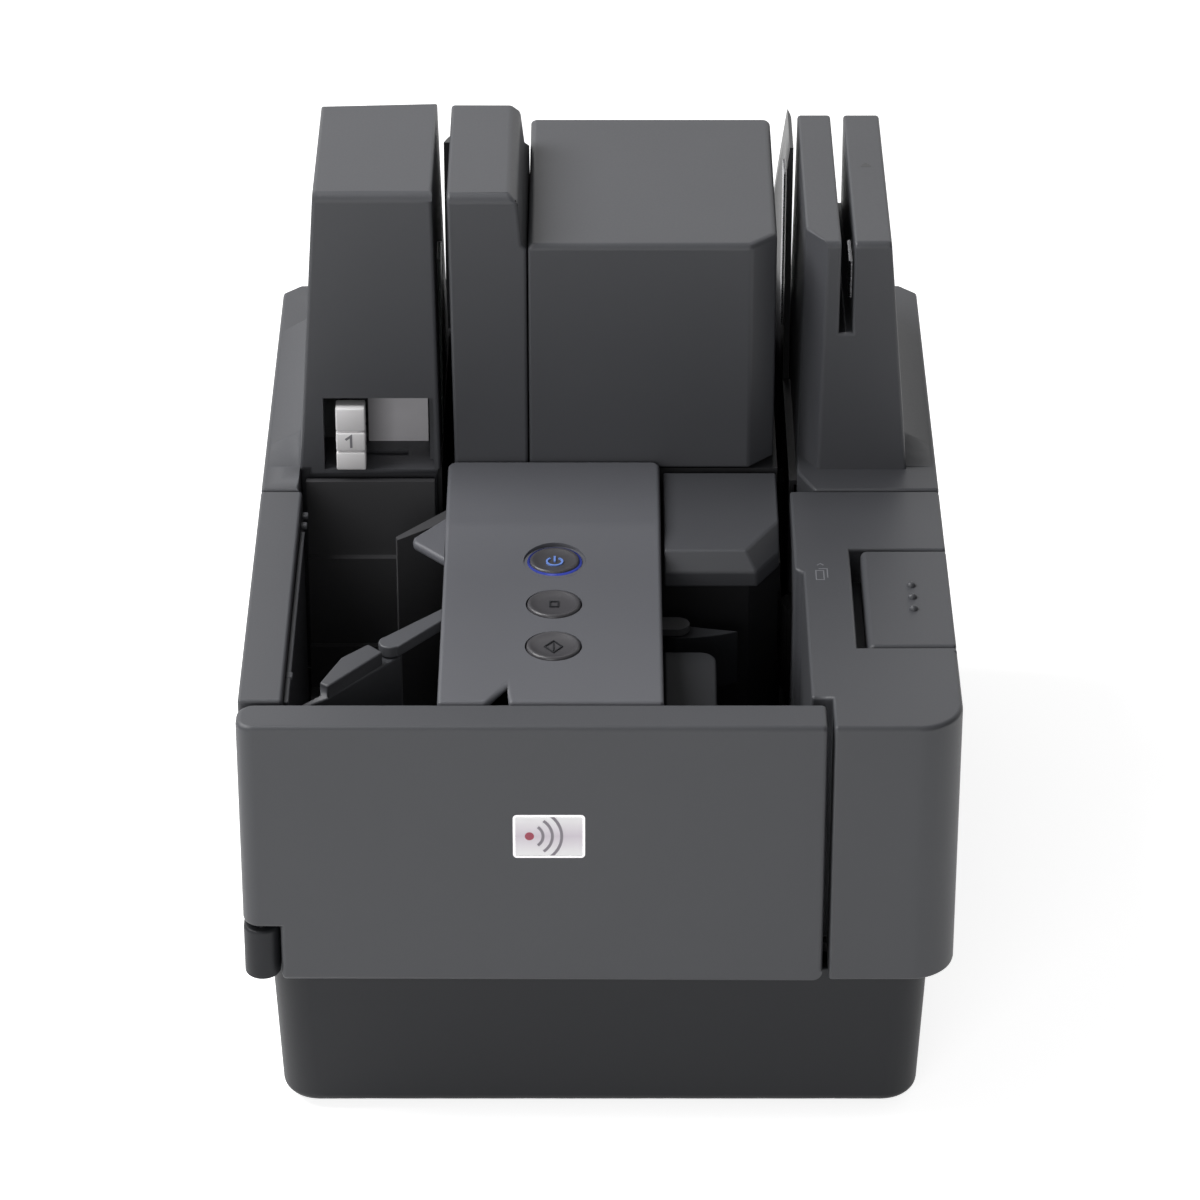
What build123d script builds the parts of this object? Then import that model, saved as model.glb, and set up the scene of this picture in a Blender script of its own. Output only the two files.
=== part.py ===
from build123d import *
from math import cos, sin, radians
import os

# Cheque scanner: two document bays at the front, a U-shaped document track round an island at the
# back, and a tower on each side of the track that tilts outwards. Millimetres, +Z up, +X right.
# The front faces -Y, and the origin is under the middle of the feet.

# Overall size
width = 170.0
front_length = 113.0
rear_length = 113.0
depth = front_length + rear_length
deck_height = 116.0
band_height = 71.0
foot_height = 1.8
tower_setback = front_length + 10.7
wall = 2.4
thin_wall = 1.8
gap = 0.4
seam = 0.8

# Heights above the deck
left_tower_height = 77.0
mid_tower_height = 76.6
box_height = 63.2
right_tower_height = 63.7
plateau_height = 2.7

# Document track
track_depth = 61.0
channel = 3.0
right_track_x = 46.3
left_track_x = -38.5
turn_radius = 20.0
rear_track_setback = depth - 11.0

# Front cover
cover_right = 53.1
cover_thickness = 11.0
cover_gap = 1.5
knuckle_radius = 4.3
knuckle_height = 15.0
knuckle_clearance = 1.2
hinge_pin_radius = 1.5
badge_width = 17.0
badge_height = 12.0
badge_x = -12.0
badge_drop = 30.0
badge_thickness = 0.6

# Front section
flange_width = 10.4
panel_edge_x = 47.6
panel_step = 2.0
panel_step_setback = 74.0
front_corner_radius = 11.0
bay_front = 11.8
bay_rear = front_length + 11.0
ledge_depth = 2.0
upper_ledge_drop = 24.0
lower_ledge_drop = 49.0

# Console
console_left = -38.2
console_right = 15.0
console_thickness = 2.4
ramp_start = front_length - 43.0
ramp_end = front_length - 20.0
button_radius = 6.5
button_x = -11.1
button_gap = 0.35
button_travel = 1.0
ring_width = 0.8
power_setback = 77.0
stop_setback = 56.7
start_setback = 37.0
nose_reach = 7.9
nose_setback = front_length - 25.3

# Release latch
latch_left = 64.0
latch_front = 36.6
latch_rear = 83.2
latch_depth = 9.0
latch_travel = 2.3
dot_radius = 1.1
dot_spacing = 5.6

# Towers
left_tower_left = -75.8
left_tower_lean = 5.2
left_tower_right = -40.2
channel_lean = 1.1
mid_tower_right = -18.1
box_left = -17.8
box_right = 43.9
box_rear = depth - 29.0
box_chamfer = 6.4
right_tower_left = 49.8
right_tower_right = 77.4
right_tower_lean = 5.4
right_inner_lean = 1.2
right_tower_rear = depth - 28.0
tower_rear = depth - 26.0
tower_top_rear = tower_rear - 23.4
skirt_height = 4.2
skirt_reach = 7.5
skirt_ramp = 12.0
card_slot_left = 59.5
card_slot_width = 3.3
card_slot_floor = 38.7

# Lock lever and its window
window_left = -69.5
window_right = -41.8
window_height = 20.4
window_depth = 15.0
lever_width = 7.4
lever_height = 17.6
lever_left = -66.4
lever_travel = 12.0

# Tilting side units
pivot_x = 79.5
pivot_rise = 5.5
pivot_lug_radius = 2.7
pivot_pin_radius = 1.0
running_clearance = 0.05
lug_thickness = 3.0
front_lug = front_length + 4.0
rear_lug = depth - 15.0

# Box cover hinge
box_hinge_setback = box_rear + 2.6
box_hinge_rise = 2.4
box_hinge_radius = 1.8
box_pin_radius = 0.8

# Rollers and drive
roller_radius = 6.0
roller_height = 12.0
tyre_pitch = 24.0
nip_bite = 0.6
shaft_radius = 1.5
pulley_radius = 6.0
motor_pulley_radius = 4.5
pulley_height = 4.0
belt_thickness = 1.0
belt_width = 3.2
motor_x = 4.0
motor_setback = front_length - 41.0
motor_radius = 17.5
motor_length = 24.0
feed_setback = front_length - 12.5
rear_roller_setback = front_length + 52.0
exit_setback = front_length + 21.0

# Base
base_top_half = 79.2
base_bottom_half = 77.6
base_front_top = 5.0
base_front_bottom = 10.0
base_rear_top = 3.0
base_rear_bottom = 6.0
base_corner = 9.0
base_edge_radius = 3.0
foot_radius = 6.0
board_width = 110.0
board_length = 120.0
board_thickness = 1.6
board_height = 12.0
board_setback = depth - 73.0
post_radius = 3.4
post_x = 48.0
post_inset = 7.0
post_front = board_setback - board_length / 2 + post_inset
post_rear = board_setback + board_length / 2 - post_inset
screw_head_radius = 2.6
screw_head_height = 1.2
screw_radius = 1.2

# Scan modules, heads and pinch rollers
module_setback = front_length + 35.0
module_length = 10.0
module_depth = 9.0
module_rise = 52.0
module_foot = 2.0
glass_thickness = 0.8
head_width = 12.0
head_height = 17.0
card_head_setback = front_length + 26.0
card_head_width = 12.0
card_head_low = 44.0
card_head_height = 10.0
pinch_radius = 5.0
pinch_window = 14.0
groove_setback = front_length + 18.0
groove_width = 3.0
groove_depth = 1.0

# Worked out from the sizes above
half = width / 2
band_bottom = deck_height - band_height
track_floor = deck_height - track_depth
half_channel = channel / 2
right_inner = right_track_x - half_channel
right_outer = right_track_x + half_channel
left_inner = left_track_x + half_channel
left_outer = left_track_x - half_channel
pivot_z = band_bottom + pivot_rise
frame_top = band_bottom + wall
unit_bottom = frame_top + gap
flange_right = -half + flange_width
tyre_base = track_floor + 5
window_low = tyre_base - 2
window_high = tyre_base + tyre_pitch + roller_height + 2


def back(setback):
    """Y of a plane this far behind the front face."""
    return setback - depth / 2


def over(height):
    """Z of a plane this far above the deck."""
    return deck_height + height


def save(part, name):
    part.label = name
    export_step(part, f"parts/{name}.step")


os.makedirs("parts", exist_ok=True)

# Base shell: a tub under the wider upper band, its front face sloping back towards the feet.
base_centre_top = (base_front_top - base_rear_top) / 2
base_centre_bottom = (base_front_bottom - base_rear_bottom) / 2
base_length_top = depth - base_front_top - base_rear_top
base_length_bottom = depth - base_front_bottom - base_rear_bottom
jack_x = -30.0
jack_radius = 3.2
usb_x = 5.0
usb_width = 12.0
usb_height = 11.0
socket_height = board_height + board_thickness + 6.5
post_places = [(x, back(y)) for x in (-post_x, post_x) for y in (post_front, post_rear)]
with BuildPart() as base_shell:
    with BuildSketch(Plane.XY.offset(foot_height)):
        with Locations((0, base_centre_bottom)):
            RectangleRounded(2 * base_bottom_half, base_length_bottom, base_corner)
    with BuildSketch(Plane.XY.offset(band_bottom)):
        with Locations((0, base_centre_top)):
            RectangleRounded(2 * base_top_half, base_length_top, base_corner)
    loft()
    fillet(base_shell.faces().sort_by(Axis.Z)[0].edges(), base_edge_radius)
    with BuildSketch(Plane.XY.offset(foot_height + wall)):
        with Locations((0, base_centre_bottom)):
            RectangleRounded(
                2 * (base_bottom_half - wall) - base_corner,
                base_length_bottom - 2 * wall - base_corner,
                base_corner - wall,
            )
    with BuildSketch(Plane.XY.offset(band_bottom + gap)):
        with Locations((0, base_centre_top)):
            RectangleRounded(
                2 * (base_top_half - wall), base_length_top - 2 * wall, base_corner - wall
            )
    loft(mode=Mode.SUBTRACT)
    with BuildSketch(Plane.XY.offset(foot_height + wall)):
        with Locations(*post_places):
            Circle(post_radius)
    extrude(amount=board_height - foot_height - wall)
    with BuildSketch(Plane.XY.offset(foot_height)):
        with Locations(*post_places):
            Circle(screw_head_radius + running_clearance)
    extrude(amount=screw_head_height, mode=Mode.SUBTRACT)
    with BuildSketch(Plane.XY.offset(foot_height)):
        with Locations(*post_places):
            Circle(screw_radius)
    extrude(amount=board_height - foot_height - 1, mode=Mode.SUBTRACT)
    rear_face = Plane.XZ.offset(-(depth / 2))
    with BuildSketch(rear_face):
        with Locations((jack_x, socket_height)):
            Circle(jack_radius + 1.6)
        with Locations((usb_x, socket_height)):
            Rectangle(usb_width + 2 * gap, usb_height + 2 * gap)
    extrude(amount=20, mode=Mode.SUBTRACT)
save(base_shell.part, "base_shell")

# Rubber feet: one node of four pads.
foot_x = 60.0
foot_front = 30.0
foot_rear = depth - 26.0
with BuildPart() as rubber_feet:
    with BuildSketch():
        with Locations(*[(x, back(y)) for x in (-foot_x, foot_x) for y in (foot_front, foot_rear)]):
            Circle(foot_radius)
    extrude(amount=foot_height)
save(rubber_feet.part, "rubber_feet")

# Main frame: the plate that closes the base and carries everything above, with the lugs that
# the side units tilt on.
frame_half = half - wall - gap
frame_rear_half = base_top_half - gap
frame_front = bay_front + gap
frame_rear = depth - wall - gap
motor_y = back(motor_setback)
frame_holes = [
    (-50, back(front_length - 53)),
    (-50, back(front_length + 47)),
    (30, back(depth - 36)),
]
with BuildPart() as main_frame:
    with BuildSketch(Plane.XY.offset(band_bottom)):
        Polygon(
            (-frame_half, back(frame_front)),
            (frame_half, back(frame_front)),
            (frame_half, back(front_length)),
            (frame_rear_half, back(front_length)),
            (frame_rear_half, back(frame_rear)),
            (-frame_rear_half, back(frame_rear)),
            (-frame_rear_half, back(front_length)),
            (-frame_half, back(front_length)),
        )
        with Locations((motor_x, motor_y)):
            Circle(motor_pulley_radius + belt_thickness + 1, mode=Mode.SUBTRACT)
        with Locations(*frame_holes):
            Circle(9, mode=Mode.SUBTRACT)
    extrude(amount=wall)
    for side in (-1, 1):
        for lug in (front_lug, rear_lug):
            with BuildSketch(Plane.XZ.offset(-back(lug))):
                Polygon(
                    (side * (pivot_x - 8), frame_top - 0.6),
                    (side * (pivot_x - 2.5), frame_top - 0.6),
                    (side * pivot_x, pivot_z),
                    (side * (pivot_x - 4), pivot_z + pivot_lug_radius),
                        )
                with Locations((side * pivot_x, pivot_z)):
                    Circle(pivot_lug_radius)
                with Locations((side * pivot_x, pivot_z)):
                    Circle(pivot_pin_radius, mode=Mode.SUBTRACT)
            extrude(amount=-lug_thickness)
save(main_frame.part, "main_frame")

# Front cover: an L-shaped door over the front of both bays. It turns on a pin at its lower left
# corner, and its left end is rounded about that pin.
hinge_x = -half + knuckle_radius
hinge_y = back(knuckle_radius)
cover_bottom = band_bottom
lip_drop = 9.0
notch_reach = knuckle_radius + gap
with BuildPart() as front_cover:
    with BuildSketch(Plane.XY.offset(cover_bottom)):
        Polygon(
            (-half, back(0)),
            (cover_right, back(0)),
            (cover_right, back(cover_thickness)),
            (-half, back(cover_thickness)),
        )
    extrude(amount=band_height)
    left_edges = front_cover.edges().filter_by(Axis.Z).group_by(Axis.X)[0]
    fillet(left_edges.sort_by(Axis.Y)[0], knuckle_radius)
    fillet(left_edges.sort_by(Axis.Y)[-1], knuckle_radius)
    fillet(front_cover.edges().filter_by(Axis.Y).group_by(Axis.X)[-1].sort_by(Axis.Z)[0], 2.5)
    top_front = front_cover.faces().sort_by(Axis.Z)[-1].edges().group_by(Axis.Y)[0]
    fillet(top_front, 1.4)
    with BuildSketch(Plane.XY.offset(cover_bottom - 1)):
        Polygon(
            (hinge_x + notch_reach + wall, back(wall)),
            (cover_right - wall, back(wall)),
            (cover_right - wall, back(cover_thickness + 1)),
            (hinge_x + notch_reach + wall, back(cover_thickness + 1)),
        )
    extrude(amount=band_height - lip_drop + 1, mode=Mode.SUBTRACT)
    with BuildSketch(Plane.XZ.offset(depth / 2)):
        with Locations((badge_x, over(-badge_drop))):
            RectangleRounded(badge_width, badge_height, 1.0)
    extrude(amount=-badge_thickness, mode=Mode.SUBTRACT)
    with BuildSketch(Plane.XZ.offset(depth / 2 + 1)):
        with Locations((hinge_x + notch_reach, cover_bottom - 1)):
            Rectangle(2 * half, knuckle_height + 1, align=(Align.MAX, Align.MIN))
    extrude(amount=-(cover_thickness + 2), mode=Mode.SUBTRACT)
    with BuildSketch(Plane.XY.offset(cover_bottom + knuckle_height - 1)):
        with Locations((hinge_x, hinge_y)):
            Circle(hinge_pin_radius + running_clearance)
    extrude(amount=16, mode=Mode.SUBTRACT)
save(front_cover.part, "front_cover")

# Hinge knuckle under the cover's left end, fixed to the frame, round about the pin that stands
# in it so that the cover swings past it.
knuckle_top = band_bottom + knuckle_height - knuckle_clearance
with BuildPart() as cover_knuckle:
    with BuildSketch(Plane.XY.offset(band_bottom)):
        with Locations((hinge_x, hinge_y)):
            Circle(knuckle_radius)
        Polygon(
            (-half, hinge_y),
            (hinge_x + knuckle_radius, hinge_y),
            (hinge_x + knuckle_radius, back(bay_front + gap)),
            (-half, back(bay_front + gap)),
        )
    extrude(amount=knuckle_top - band_bottom)
    with BuildSketch(Plane.XY.offset(knuckle_top)):
        with Locations((hinge_x, hinge_y)):
            Circle(hinge_pin_radius)
    extrude(amount=-10, mode=Mode.SUBTRACT)
save(cover_knuckle.part, "cover_knuckle")

# Plain badge, flush in a shallow recess of the cover.
with BuildPart() as badge:
    with BuildSketch(Plane.XZ.offset(depth / 2)):
        with Locations((badge_x, over(-badge_drop))):
            RectangleRounded(badge_width, badge_height, 1.0)
    extrude(amount=-badge_thickness)
save(badge.part, "badge")

# Left side panel: outer wall, flat top flange and the inner wall of the exit bay.
side_rear = front_length - gap
with BuildPart() as left_side_panel:
    with BuildSketch(Plane.XZ.offset(-back(bay_front + gap))):
        Polygon(
            (-half, band_bottom),
            (-half, deck_height),
            (flange_right, deck_height),
            (flange_right, track_floor + gap),
            (flange_right - thin_wall, track_floor + gap),
            (flange_right - thin_wall, deck_height - wall),
            (-half + wall, deck_height - wall),
            (-half + wall, band_bottom),
        )
    extrude(amount=-(side_rear - bay_front - gap))
    fillet(left_side_panel.edges().filter_by(Axis.Y).sort_by(Axis.Z)[-1:], 0.8)
    with BuildSketch(Plane.XZ.offset(-back(side_rear))):
        Polygon(
            (-half + wall, band_bottom + wall + gap),
            (-half + wall, deck_height - wall),
            (flange_right - thin_wall, deck_height - wall),
            (flange_right - thin_wall, band_bottom + wall + gap),
        )
    extrude(amount=wall)
save(left_side_panel.part, "left_side_panel")

# Right front panel: front face, rounded corner, side wall and top, open below, with the pocket
# of the release latch and the stepped edge along the feeder bay.
panel_front_left = cover_right + cover_gap
pocket_left = latch_left - latch_travel - gap
pocket_floor = deck_height - latch_depth - gap
with BuildPart() as right_front_panel:
    with BuildSketch(Plane.XY.offset(band_bottom)):
        Polygon(
            (panel_front_left, back(0)),
            (half, back(0)),
            (half, back(side_rear)),
            (panel_edge_x, back(side_rear)),
            (panel_edge_x, back(panel_step_setback)),
            (panel_edge_x + panel_step, back(panel_step_setback - panel_step)),
            (panel_edge_x + panel_step, back(bay_front + 2)),
            (panel_front_left, back(bay_front + 2)),
        )
    extrude(amount=band_height)
    uprights = right_front_panel.edges().filter_by(Axis.Z)
    fillet(uprights.group_by(Axis.X)[-1].sort_by(Axis.Y)[0], front_corner_radius)
    fillet(right_front_panel.faces().sort_by(Axis.Z)[-1].edges().group_by(Axis.Y)[0], 1.2)
    with BuildSketch(Plane.XY.offset(band_bottom - 1)) as panel_hollow:
        Polygon(
            (panel_front_left + wall, back(wall)),
            (half - wall, back(wall)),
            (half - wall, back(side_rear - wall)),
            (panel_edge_x + wall, back(side_rear - wall)),
            (panel_edge_x + wall, back(panel_step_setback)),
            (panel_edge_x + panel_step + wall, back(panel_step_setback - panel_step)),
            (panel_edge_x + panel_step + wall, back(bay_front + 2 + wall)),
            (panel_front_left + wall, back(bay_front + 2 + wall)),
        )
        hollow_corner = panel_hollow.vertices().group_by(Axis.X)[-1].sort_by(Axis.Y)[0]
        fillet(hollow_corner, front_corner_radius - wall)
    extrude(amount=band_height - wall + 1, mode=Mode.SUBTRACT)
    with BuildSketch(Plane.XY.offset(pocket_floor - thin_wall)):
        Polygon(
            (pocket_left - thin_wall, back(latch_front - thin_wall)),
            (half, back(latch_front - thin_wall)),
            (half, back(latch_rear + thin_wall)),
            (pocket_left - thin_wall, back(latch_rear + thin_wall)),
        )
    extrude(amount=latch_depth + gap + thin_wall)
    with BuildSketch(Plane.XY.offset(pocket_floor)):
        Polygon(
            (pocket_left, back(latch_front)),
            (half + 1, back(latch_front)),
            (half + 1, back(latch_rear)),
            (pocket_left, back(latch_rear)),
        )
    extrude(amount=latch_depth + gap + 1, mode=Mode.SUBTRACT)
    with BuildSketch(Plane.XY.offset(band_bottom - 1)):
        Polygon(
            (panel_edge_x - 1, back(bay_front)),
            (frame_half + gap, back(bay_front)),
            (frame_half + gap, back(front_length)),
            (panel_edge_x - 1, back(front_length)),
        )
    extrude(amount=wall + gap + 1, mode=Mode.SUBTRACT)
    with BuildSketch(Plane.YZ.offset(panel_edge_x - 1)):
        with Locations((back(feed_setback), (window_low + window_high) / 2)):
            Rectangle(pinch_window, window_high - window_low)
    extrude(amount=2 * wall, mode=Mode.SUBTRACT)
save(right_front_panel.part, "right_front_panel")

# Release latch: a hollow slide with three raised dots, pushed inwards to free the right unit.
with BuildPart() as release_latch:
    with BuildSketch(Plane.XY.offset(pocket_floor + gap)):
        Polygon(
            (latch_left, back(latch_front + gap)),
            (half, back(latch_front + gap)),
            (half, back(latch_rear - gap)),
            (latch_left, back(latch_rear - gap)),
        )
    extrude(amount=latch_depth)
    fillet(release_latch.faces().sort_by(Axis.Z)[-1].edges().group_by(Axis.X)[0], 1.6)
    fillet(release_latch.faces().sort_by(Axis.Z)[-1].edges().group_by(Axis.X)[-1], 0.8)
    with BuildSketch(Plane.XY.offset(pocket_floor + gap)):
        Polygon(
            (latch_left + wall, back(latch_front + gap + wall)),
            (half - wall, back(latch_front + gap + wall)),
            (half - wall, back(latch_rear - gap - wall)),
            (latch_left + wall, back(latch_rear - gap - wall)),
        )
    extrude(amount=latch_depth - wall, mode=Mode.SUBTRACT)
    dot_x = (latch_left + half) / 2 + dot_radius
    dot_middle = (latch_front + latch_rear) / 2
    with Locations(*[(dot_x, back(dot_middle + n * dot_spacing), deck_height) for n in (-1, 0, 1)]):
        Sphere(dot_radius)
save(release_latch.part, "release_latch")


def roller_place(name):
    """Plan position of a drive roller, its surface just inside the channel."""
    reach = roller_radius - nip_bite
    places = {
        "feed": (right_inner - reach, back(feed_setback)),
        "rear_right": (right_inner - reach, back(rear_roller_setback)),
        "rear_left": (left_inner + reach, back(rear_roller_setback)),
        "exit": (left_inner + reach, back(exit_setback)),
    }
    return places[name]


# Bay tray: the black floor of both bays, the stepped rear wall of the exit bay and the hollow
# pedestal that carries the console, with the wedge that turns documents into the exit bay and the
# pin of the press arm.
tray_left = flange_right + gap
tray_right = panel_edge_x - gap
tray_front = bay_front + gap
pedestal_top = over(-console_thickness)
deflector_rear = bay_rear - 12.0
deflector_reach = 12.6
deflector_drop = 5.0
skirt_rear = feed_setback - pulley_radius - 10
arm_x = console_right + 4.0
arm_y = back(front_length - 40.5)
arm_reach = 15.0
arm_low = over(-32.0)
arm_high = over(-17.0)
arm_pin_radius = 1.2
with BuildPart() as bay_tray:
    with BuildSketch(Plane.XY.offset(track_floor - wall)):
        Polygon(
            (tray_left, back(tray_front)),
            (tray_right, back(tray_front)),
            (tray_right, back(bay_rear)),
            (tray_left, back(bay_rear)),
        )
        Polygon(
            (console_left + thin_wall, back(tray_front + thin_wall)),
            (console_right - thin_wall, back(tray_front + thin_wall)),
            (console_right - thin_wall, back(bay_rear + 1)),
            (console_left + thin_wall, back(bay_rear + 1)),
            mode=Mode.SUBTRACT,
        )
        with Locations(roller_place("feed")):
            Circle(shaft_radius + running_clearance, mode=Mode.SUBTRACT)
    extrude(amount=wall)
    with BuildSketch(Plane.XY.offset(track_floor)):
        Polygon(
            (console_left, back(tray_front)),
            (console_right, back(tray_front)),
            (console_right, back(bay_rear)),
            (console_left, back(bay_rear)),
        )
        Polygon(
            (console_left + thin_wall, back(tray_front + thin_wall)),
            (console_right - thin_wall, back(tray_front + thin_wall)),
            (console_right - thin_wall, back(bay_rear + 1)),
            (console_left + thin_wall, back(bay_rear + 1)),
            mode=Mode.SUBTRACT,
        )
    extrude(amount=pedestal_top - track_floor)
    with BuildSketch(Plane.YZ.offset(tray_left)):
        Polygon(
            (back(bay_rear), over(-wall - gap)),
            (back(bay_rear - thin_wall), over(-wall - gap)),
            (back(bay_rear - thin_wall), over(-upper_ledge_drop)),
            (back(bay_rear - thin_wall - ledge_depth), over(-upper_ledge_drop)),
            (back(bay_rear - thin_wall - ledge_depth), over(-lower_ledge_drop)),
            (back(bay_rear - thin_wall - 2 * ledge_depth), over(-lower_ledge_drop)),
            (back(bay_rear - thin_wall - 2 * ledge_depth), track_floor),
            (back(bay_rear - 2 * ledge_depth), track_floor),
            (back(bay_rear - 2 * ledge_depth), over(-lower_ledge_drop - thin_wall)),
            (back(bay_rear - ledge_depth), over(-lower_ledge_drop - thin_wall)),
            (back(bay_rear - ledge_depth), over(-upper_ledge_drop - thin_wall)),
            (back(bay_rear), over(-upper_ledge_drop - thin_wall)),
        )
    extrude(amount=left_outer - thin_wall - tray_left)
    with BuildSketch(Plane.XY.offset(frame_top)):
        Polygon(
            (tray_left, back(tray_front)),
            (tray_right, back(tray_front)),
            (tray_right, back(skirt_rear)),
            (tray_right - thin_wall, back(skirt_rear)),
            (tray_right - thin_wall, back(tray_front + thin_wall)),
            (tray_left + thin_wall, back(tray_front + thin_wall)),
            (tray_left + thin_wall, back(front_length)),
            (tray_left, back(front_length)),
        )
    extrude(amount=track_floor - wall - frame_top)
    with BuildSketch(Plane.XY.offset(track_floor)):
        Polygon(
            (console_left, back(deflector_rear)),
            (console_left - deflector_reach, back(deflector_rear - 14.0)),
            (console_left - deflector_reach + 0.4, back(deflector_rear - 15.6)),
            (console_left, back(deflector_rear - 6.0)),
        )
    extrude(amount=track_depth - deflector_drop)
    for level in (arm_low - gap - thin_wall, arm_high + gap):
        with BuildSketch(Plane.XY.offset(level)):
            with Locations((arm_x, arm_y)):
                Circle(3.0)
            with Locations(((console_right + arm_x) / 2, arm_y)):
                Rectangle(arm_x - console_right, 6.0)
        extrude(amount=thin_wall)
    with BuildSketch(Plane.XY.offset(arm_low - gap - thin_wall)):
        with Locations((arm_x, arm_y)):
            Circle(arm_pin_radius)
    extrude(amount=arm_high - arm_low + 2 * (gap + thin_wall))
save(bay_tray.part, "bay_tray")

# Console panel: flat at the front, rising in a hollow curve to a plateau at the back, with three
# button holes, a guide nose on the left and a notch in its front edge.
console_front = 11.4
console_rear = bay_rear - seam
ring_radius = button_radius + button_gap + ring_width
with BuildPart() as console_panel:
    with BuildSketch(Plane.YZ.offset(console_left)):
        with BuildLine():
            Line((back(console_front), over(0)), (back(ramp_start), over(0)))
            TangentArc(
                (back(ramp_start), over(0)), (back(ramp_end), over(plateau_height)), tangent=(1, 0)
            )
            Polyline(
                (back(ramp_end), over(plateau_height)),
                (back(console_rear), over(plateau_height)),
                (back(console_rear), over(-console_thickness)),
                (back(console_front), over(-console_thickness)),
                (back(console_front), over(0)),
            )
        make_face()
    extrude(amount=console_right - console_left)
    fillet(console_panel.edges().filter_by(Axis.Z).group_by(Axis.Y)[-1], 2.4)
    with BuildSketch(Plane.XY.offset(over(-console_thickness))):
        Polygon(
            (console_left + 0.1, back(nose_setback - 9.7)),
            (console_left + 0.1, back(nose_setback + 11.6)),
            (console_left - nose_reach, back(nose_setback + 1.4)),
            (console_left - nose_reach, back(nose_setback - 1.0)),
        )
    extrude(amount=console_thickness + 0.2)
    with BuildSketch(Plane.XY.offset(over(-console_thickness - 1))):
        Polygon(
            (-27.2, back(console_front - 1)),
            (-21.9, back(console_front + 8.3)),
            (-21.3, back(console_front - 1)),
        )
        with Locations((button_x, back(power_setback))):
            Circle(ring_radius)
        with Locations((button_x, back(stop_setback)), (button_x, back(start_setback))):
            Circle(button_radius + button_gap)
    extrude(amount=console_thickness + plateau_height + 2, mode=Mode.SUBTRACT)
save(console_panel.part, "console_panel")

# Light ring round the power button.
with BuildPart() as power_ring:
    with BuildSketch(Plane.XY.offset(over(-console_thickness))):
        with Locations((button_x, back(power_setback))):
            Circle(ring_radius)
            Circle(button_radius + button_gap, mode=Mode.SUBTRACT)
    extrude(amount=console_thickness + 0.4)
save(power_ring.part, "power_ring")

# Buttons: a domed cap, a flange that the console holds down, and a stem over its switch.
flange_height = 1.0
stem_radius = 2.0
button_bottom = -console_thickness - button_gap
for name, setback, rise in (
    ("power_button", power_setback, 0.8),
    ("stop_button", stop_setback, 0.5),
    ("start_button", start_setback, 0.5),
):
    with BuildPart() as button:
        with BuildSketch(Plane.XY.offset(over(button_bottom - flange_height))):
            with Locations((button_x, back(setback))):
                Circle(button_radius + 1.5)
        extrude(amount=flange_height)
        with BuildSketch(Plane.XY.offset(over(button_bottom))):
            with Locations((button_x, back(setback))):
                Circle(button_radius)
        extrude(amount=rise - button_bottom)
        fillet(button.edges().filter_by(GeomType.CIRCLE).sort_by(Axis.Z)[-1], 0.5)
        with BuildSketch(Plane.XY.offset(over(button_bottom - flange_height))):
            with Locations((button_x, back(setback))):
                Circle(stem_radius)
        extrude(amount=-3.0)
    save(button.part, name)

# Switch board under the console: one strip with three push switches, hung from the pedestal.
switch_height = 1.8
board_top = over(button_bottom - flange_height - 3.0 - button_travel - gap - switch_height)
with BuildPart() as switch_board:
    with BuildSketch(Plane.XY.offset(board_top - board_thickness)):
        Polygon(
            (console_left + thin_wall, back(start_setback - 12)),
            (console_right - thin_wall, back(start_setback - 12)),
            (console_right - thin_wall, back(power_setback + 12)),
            (console_left + thin_wall, back(power_setback + 12)),
        )
    extrude(amount=board_thickness)
    with BuildSketch(Plane.XY.offset(board_top)):
        with Locations(*[(button_x, back(s)) for s in (power_setback, stop_setback, start_setback)]):
            Rectangle(6, 6)
    extrude(amount=switch_height)
save(switch_board.part, "switch_board")

# Feeder frame: the black block behind the feeder bay that holds the feed roller, with a window
# for the roller in its right wall and a lip along its front.
feeder_front = front_length - 27.0
feeder_top = -10.0
feeder_corner = 8.0
feeder_right = right_inner
lip_height = 1.0
with BuildPart() as feeder_frame:
    with BuildSketch(Plane.XY.offset(track_floor)):
        Polygon(
            (console_right + gap, back(feeder_front)),
            (feeder_right - feeder_corner, back(feeder_front)),
            (feeder_right, back(feeder_front + feeder_corner)),
            (feeder_right, back(bay_rear)),
            (console_right + gap, back(bay_rear)),
        )
    extrude(amount=over(feeder_top) - track_floor)
    offset(
        amount=-thin_wall,
        openings=feeder_frame.faces().sort_by(Axis.Z)[0],
        kind=Kind.INTERSECTION,
    )
    with BuildSketch(Plane.XY.offset(over(feeder_top - lip_height))):
        Polygon(
            (console_right + gap, back(feeder_front - 1.2)),
            (feeder_right - feeder_corner, back(feeder_front - 1.2)),
            (feeder_right - feeder_corner + 4, back(feeder_front + 3)),
            (console_right + gap, back(feeder_front + 1)),
        )
    extrude(amount=lip_height)
    with BuildSketch(Plane.YZ.offset(feeder_right + 1)):
        with Locations((back(feed_setback), (window_low + window_high) / 2)):
            Rectangle(2 * roller_radius + 2, window_high - window_low)
    extrude(amount=-(thin_wall + 6), mode=Mode.SUBTRACT)
    with BuildSketch(Plane.XY.offset(over(feeder_top) - thin_wall - 1)):
        with Locations(roller_place("feed")):
            Circle(shaft_radius + running_clearance)
    extrude(amount=thin_wall + 0.5, mode=Mode.SUBTRACT)
save(feeder_frame.part, "feeder_frame")

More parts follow.
